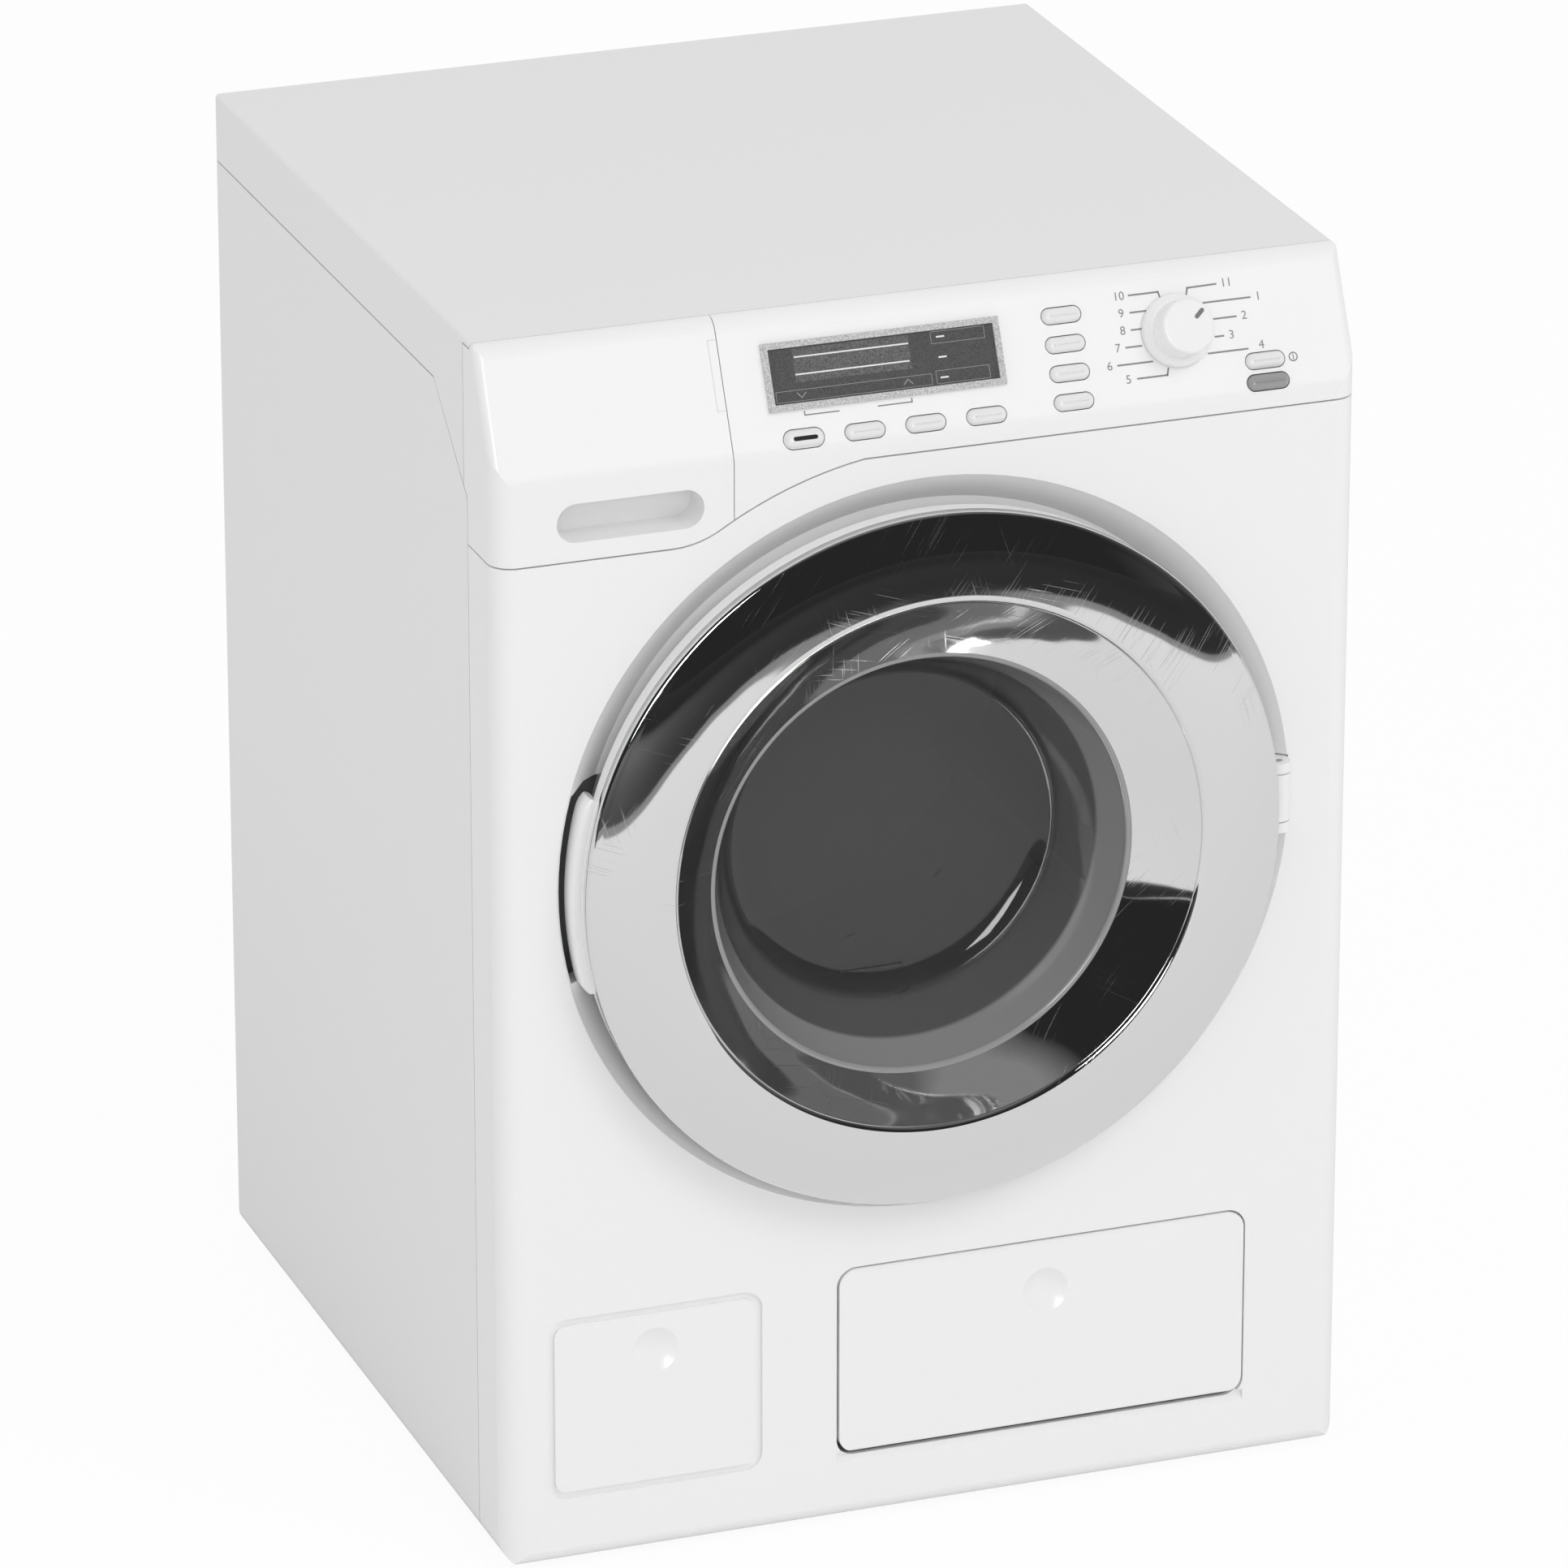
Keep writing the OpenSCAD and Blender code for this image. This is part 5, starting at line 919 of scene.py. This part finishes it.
class WASHER_OT_markings(bpy.types.Operator):
    """Print the lines round the dial, the numbers, the display's drawing and the power sign"""
    bl_idname = "washer.markings"
    bl_label = "Markings"

    def execute(self, context):
        line_piece("dial_lines", DIAL_LINES, "cabinet", "grey ink")
        line_piece("bracket_lines", BRACKETS, "cabinet", "grey ink", width_mm=0.26)
        line_piece("drawer_label_edge", DRAWER_LABEL, "drawer", "faint grey ink", width_mm=0.2)
        lens_top = height_off_slope("display_window")
        self.field(lens_top)
        for name, ink, base, width, lines in DISPLAY_PRINTS:
            line_piece(name, lines, "cabinet", ink, lens_top + base, width)
        self.numerals()
        self.power_sign()
        return {"FINISHED"}

    def field(self, lens_top):
        """The grey ground of the display's drawing."""
        x0, v0, x1, v1 = DISPLAY_FIELD
        half, middle, gap = (v1 - v0) / 2, (v0 + v1) / 2, 0.002
        bm = bmesh.new()
        ends = [(x0 + half, middle), (x1 - half, middle)]
        strip(bm, ends, 2 * half, lens_top + gap, lens_top + FIELD_INK)
        seat_piece(mesh_piece("display_field", bm, 20), "cabinet", "grey display ink")

    def numerals(self):
        """Plain numbers at the ends of the lines, in the slope's own plane."""
        bm = bmesh.new()
        half_ink, base = 0.012, 0.018
        turn = Matrix.Rotation(math.pi / 2 - sizes().lean, 4, "X")
        for text, x, v in NUMERALS:
            curve = bpy.data.curves.new("numeral", "FONT")
            curve.body = text
            curve.size = sizes().numeral_size
            curve.align_x = "CENTER"
            curve.align_y = "CENTER"
            curve.extrude = half_ink * MM
            curve.resolution_u = 4
            mesh = evaluated_mesh(link_object("numeral", curve))
            mesh.transform(Matrix.Translation(slope_point(x, v, base)) @ turn)
            bm.from_mesh(mesh)
        seat_piece(mesh_piece("dial_numerals", bm, 20), "cabinet", "grey ink")

    def power_sign(self):
        """A ring with an upright bar beside the power button."""
        x, v, r, half_bar = 79.0, 6.8, 0.85, 0.5
        lines = [arc(x, v, r, 0, 360, 24), [(x, v - half_bar), (x, v + half_bar)]]
        line_piece("power_sign", lines, "cabinet", "grey ink", width_mm=0.2)


class WASHER_OT_stage(bpy.types.Operator):
    """Set up the pale floor, the soft studio light and the camera"""
    bl_idname = "washer.stage"
    bl_label = "Stage"

    def execute(self, context):
        self.floor()
        self.dark_floor()
        self.sky()
        self.lamps()
        self.camera()
        return {"FINISHED"}

    def floor(self):
        """Pale paper, which the camera sees evenly lit so that it has no edge."""
        mesh = bpy.data.meshes.new("floor")
        far, seen_brightness = 12.0, 0.94
        mesh.from_pydata([(-far, -far, 0), (far, -far, 0), (far, far, 0), (-far, far, 0)], [], [(0, 1, 2, 3)])
        material = bpy.data.materials.new("pale_floor_paper")
        tree = empty_tree(material)
        paper = output_of(tree, "ShaderNodeBsdfDiffuse", {"Color": hex_linear("#F4F4F4")})
        glow = output_of(tree, "ShaderNodeEmission", {"Color": (1, 1, 1, 1), "Strength": 1.0})
        camera_ray = output_of(tree, "ShaderNodeLightPath", socket="Is Camera Ray")
        seen = combine(tree, "MULTIPLY", camera_ray, seen_brightness)
        mixed = output_of(tree, "ShaderNodeMixShader", {0: seen, 1: paper, 2: glow})
        add_node(tree, "ShaderNodeOutputMaterial", inputs={"Surface": mixed})
        mesh.materials.append(material)
        floor = link_object("floor", mesh)

    def dark_floor(self):
        """What the plated ring mirrors in front: the white table ends at a grey edge, with the black floor
        of the studio past it. Only polished pieces see these cards."""
        edge = [(-6.0, -0.42), (-0.23, -0.69), (0.36, -0.74), (0.69, -0.86), (1.2, -1.02), (6.0, -2.5)]
        depth, horizon = 0.06, -40.0
        past = [(x, y - depth) for x, y in edge]
        self.card("grey_card", "#8A8A8A", edge, past)
        self.card("black_card", "#131314", past, [(x * 6, horizon) for x, y in edge])

    def card(self, name, code, near, far):
        """A flat sheet just over the floor, between two rows of points. It turns grey where it is mirrored
        twice, since the folds of the cone blur it there."""
        mesh = bpy.data.meshes.new(name)
        count, height = len(near), 0.001
        mesh.from_pydata([(x, y, height) for x, y in near + far], [],
                         [(i, i + count, i + count + 1, i + 1) for i in range(count - 1)])
        material, tree, sockets = new_material(name, {"Roughness": 0.9})
        path = add_node(tree, "ShaderNodeLightPath").outputs
        feed(sockets["Alpha"], between(tree, path["Diffuse Depth"], 0.4, 0.6, 1.0, 0.0))
        twice = between(tree, path["Glossy Depth"], 1.4, 1.6)
        feed(sockets["Base Color"], blend_colours(tree, twice, hex_linear(code), hex_linear("#808080")))
        mesh.materials.append(material)
        card = link_object(name, mesh)
        for ray in ("camera", "diffuse", "shadow", "transmission"):
            setattr(card, "visible_" + ray, False)

    def sky(self):
        """White for the camera, an even soft light for everything dull, and for what is polished a dark
        studio with a dim ceiling, a grey wall at the right and a pale wall behind."""
        world = bpy.data.worlds.new("studio")
        bpy.context.scene.world = world
        tree = empty_tree(world)
        way = axes_of(tree, output_of(tree, "ShaderNodeTexCoord", socket="Generated"))
        path = add_node(tree, "ShaderNodeLightPath").outputs
        overhead = between(tree, way["Z"], 0.86, 0.96, 0.0, 0.3)
        behind = between(tree, way["Y"], 0.05, 0.3, 0.0, 0.9)
        right = between(tree, way["X"], 0.6, 0.9, 0.0, 0.12)
        ceiling = combine(tree, "MULTIPLY", between(tree, way["Z"], 0.5, 0.75, 0.0, 0.14),
                          between(tree, way["X"], -0.2, 0.1))
        lit = overhead
        for more in (behind, right, ceiling):
            lit = combine(tree, "MAXIMUM", lit, more)
        dimmest = between(tree, path["Glossy Depth"], 1.4, 1.6, 0.028, 0.16)

        def background(strength):
            return output_of(tree, "ShaderNodeBackground", {"Strength": strength})

        def mix(factor, first, second):
            return output_of(tree, "ShaderNodeMixShader", {0: factor, 1: first, 2: second})

        first_bounce = between(tree, path["Diffuse Depth"], 0.4, 0.6, 1.0, 0.0)
        mirrored = combine(tree, "MULTIPLY", first_bounce, path["Is Glossy Ray"])
        polished = background(combine(tree, "ADD", lit, dimmest))
        lighting = mix(mirrored, background(sizes().sky_level), polished)
        seen = combine(tree, "MAXIMUM", path["Is Camera Ray"], path["Is Transmission Ray"])
        add_node(tree, "ShaderNodeOutputWorld", inputs={"Surface": mix(seen, lighting, background(1.0))})

    def lamps(self):
        """Three large soft boxes, which polished pieces don't mirror, since the sky holds what they mirror.
        They mirror the strip light instead, which lights nothing else."""
        aim_height, strip_length = 0.13, 1.2
        for kind, place, size in (
                ("key", (0.9, -1.9, 2.2), 1.3), ("side", (-2.2, -0.3, 0.9), 1.2),
                ("front", (-0.7, -2.2, 1.1), 0.6), ("strip", (-0.82, -2.25, 0.83), 0.6)):
            data = bpy.data.lights.new(kind + "_light", "AREA")
            data.size = size
            data.energy = getattr(sizes(), kind + "_power")
            lamp = link_object(data.name, data)
            lamp.location = place
            aim = Vector((0, 0, aim_height)) - Vector(place)
            lamp.rotation_euler = aim.to_track_quat("-Z", "Y").to_euler()
            lamp.visible_glossy = kind == "strip"
            lamp.visible_diffuse = kind != "strip"
            if kind == "strip":
                data.shape = "RECTANGLE"
                data.size_y = strip_length

    def camera(self):
        """The photograph's viewpoint: a long lens from the front left, looking down."""
        azimuth, elevation = math.radians(20.14), math.radians(21.80)
        data = bpy.data.cameras.new("camera")
        data.sensor_width = 36.0
        data.lens = 239.3
        data.clip_end = 30.0
        camera = link_object("camera", data)
        forward = Vector((math.sin(azimuth) * math.cos(elevation),
                          math.cos(azimuth) * math.cos(elevation), -math.sin(elevation)))
        camera.location = (-0.7022, -1.9149, 0.9458)
        camera.rotation_euler = forward.to_track_quat("-Z", "Y").to_euler()
        bpy.context.scene.camera = camera
        bpy.context.scene.view_settings.view_transform = "Standard"


class WASHER_PT_panel(bpy.types.Panel):
    """Lists the steps that build the washing machine"""
    bl_idname = "WASHER_PT_panel"
    bl_label = "Toy Washer"
    bl_space_type = "VIEW_3D"
    bl_region_type = "UI"
    bl_category = "Toy Washer"

    def draw(self, context):
        for step in STEPS:
            self.layout.operator(step.bl_idname)
        for group in (context.scene.washer_colours, context.scene.washer_sizes):
            for name in group.__annotations__:
                self.layout.prop(group, name)


STEPS = (
    WASHER_OT_casing, WASHER_OT_fascia, WASHER_OT_drawer, WASHER_OT_flap, WASHER_OT_drum,
    WASHER_OT_door, WASHER_OT_screws, WASHER_OT_markings, WASHER_OT_stage,
)
CLASSES = (WasherColours, WasherSizes) + STEPS + (WASHER_PT_panel,)


def register():
    for cls in CLASSES:
        bpy.utils.register_class(cls)
    bpy.types.Scene.washer_colours = PointerProperty(type=WasherColours)
    bpy.types.Scene.washer_sizes = PointerProperty(type=WasherSizes)


def unregister():
    del bpy.types.Scene.washer_sizes
    del bpy.types.Scene.washer_colours
    for cls in reversed(CLASSES):
        bpy.utils.unregister_class(cls)


def main():
    register()
    bpy.ops.washer.casing()
    bpy.ops.washer.fascia()
    bpy.ops.washer.drawer()
    bpy.ops.washer.flap()
    bpy.ops.washer.drum()
    bpy.ops.washer.door()
    bpy.ops.washer.screws()
    bpy.ops.washer.markings()
    bpy.ops.washer.stage()


if __name__ == "__main__":
    main()
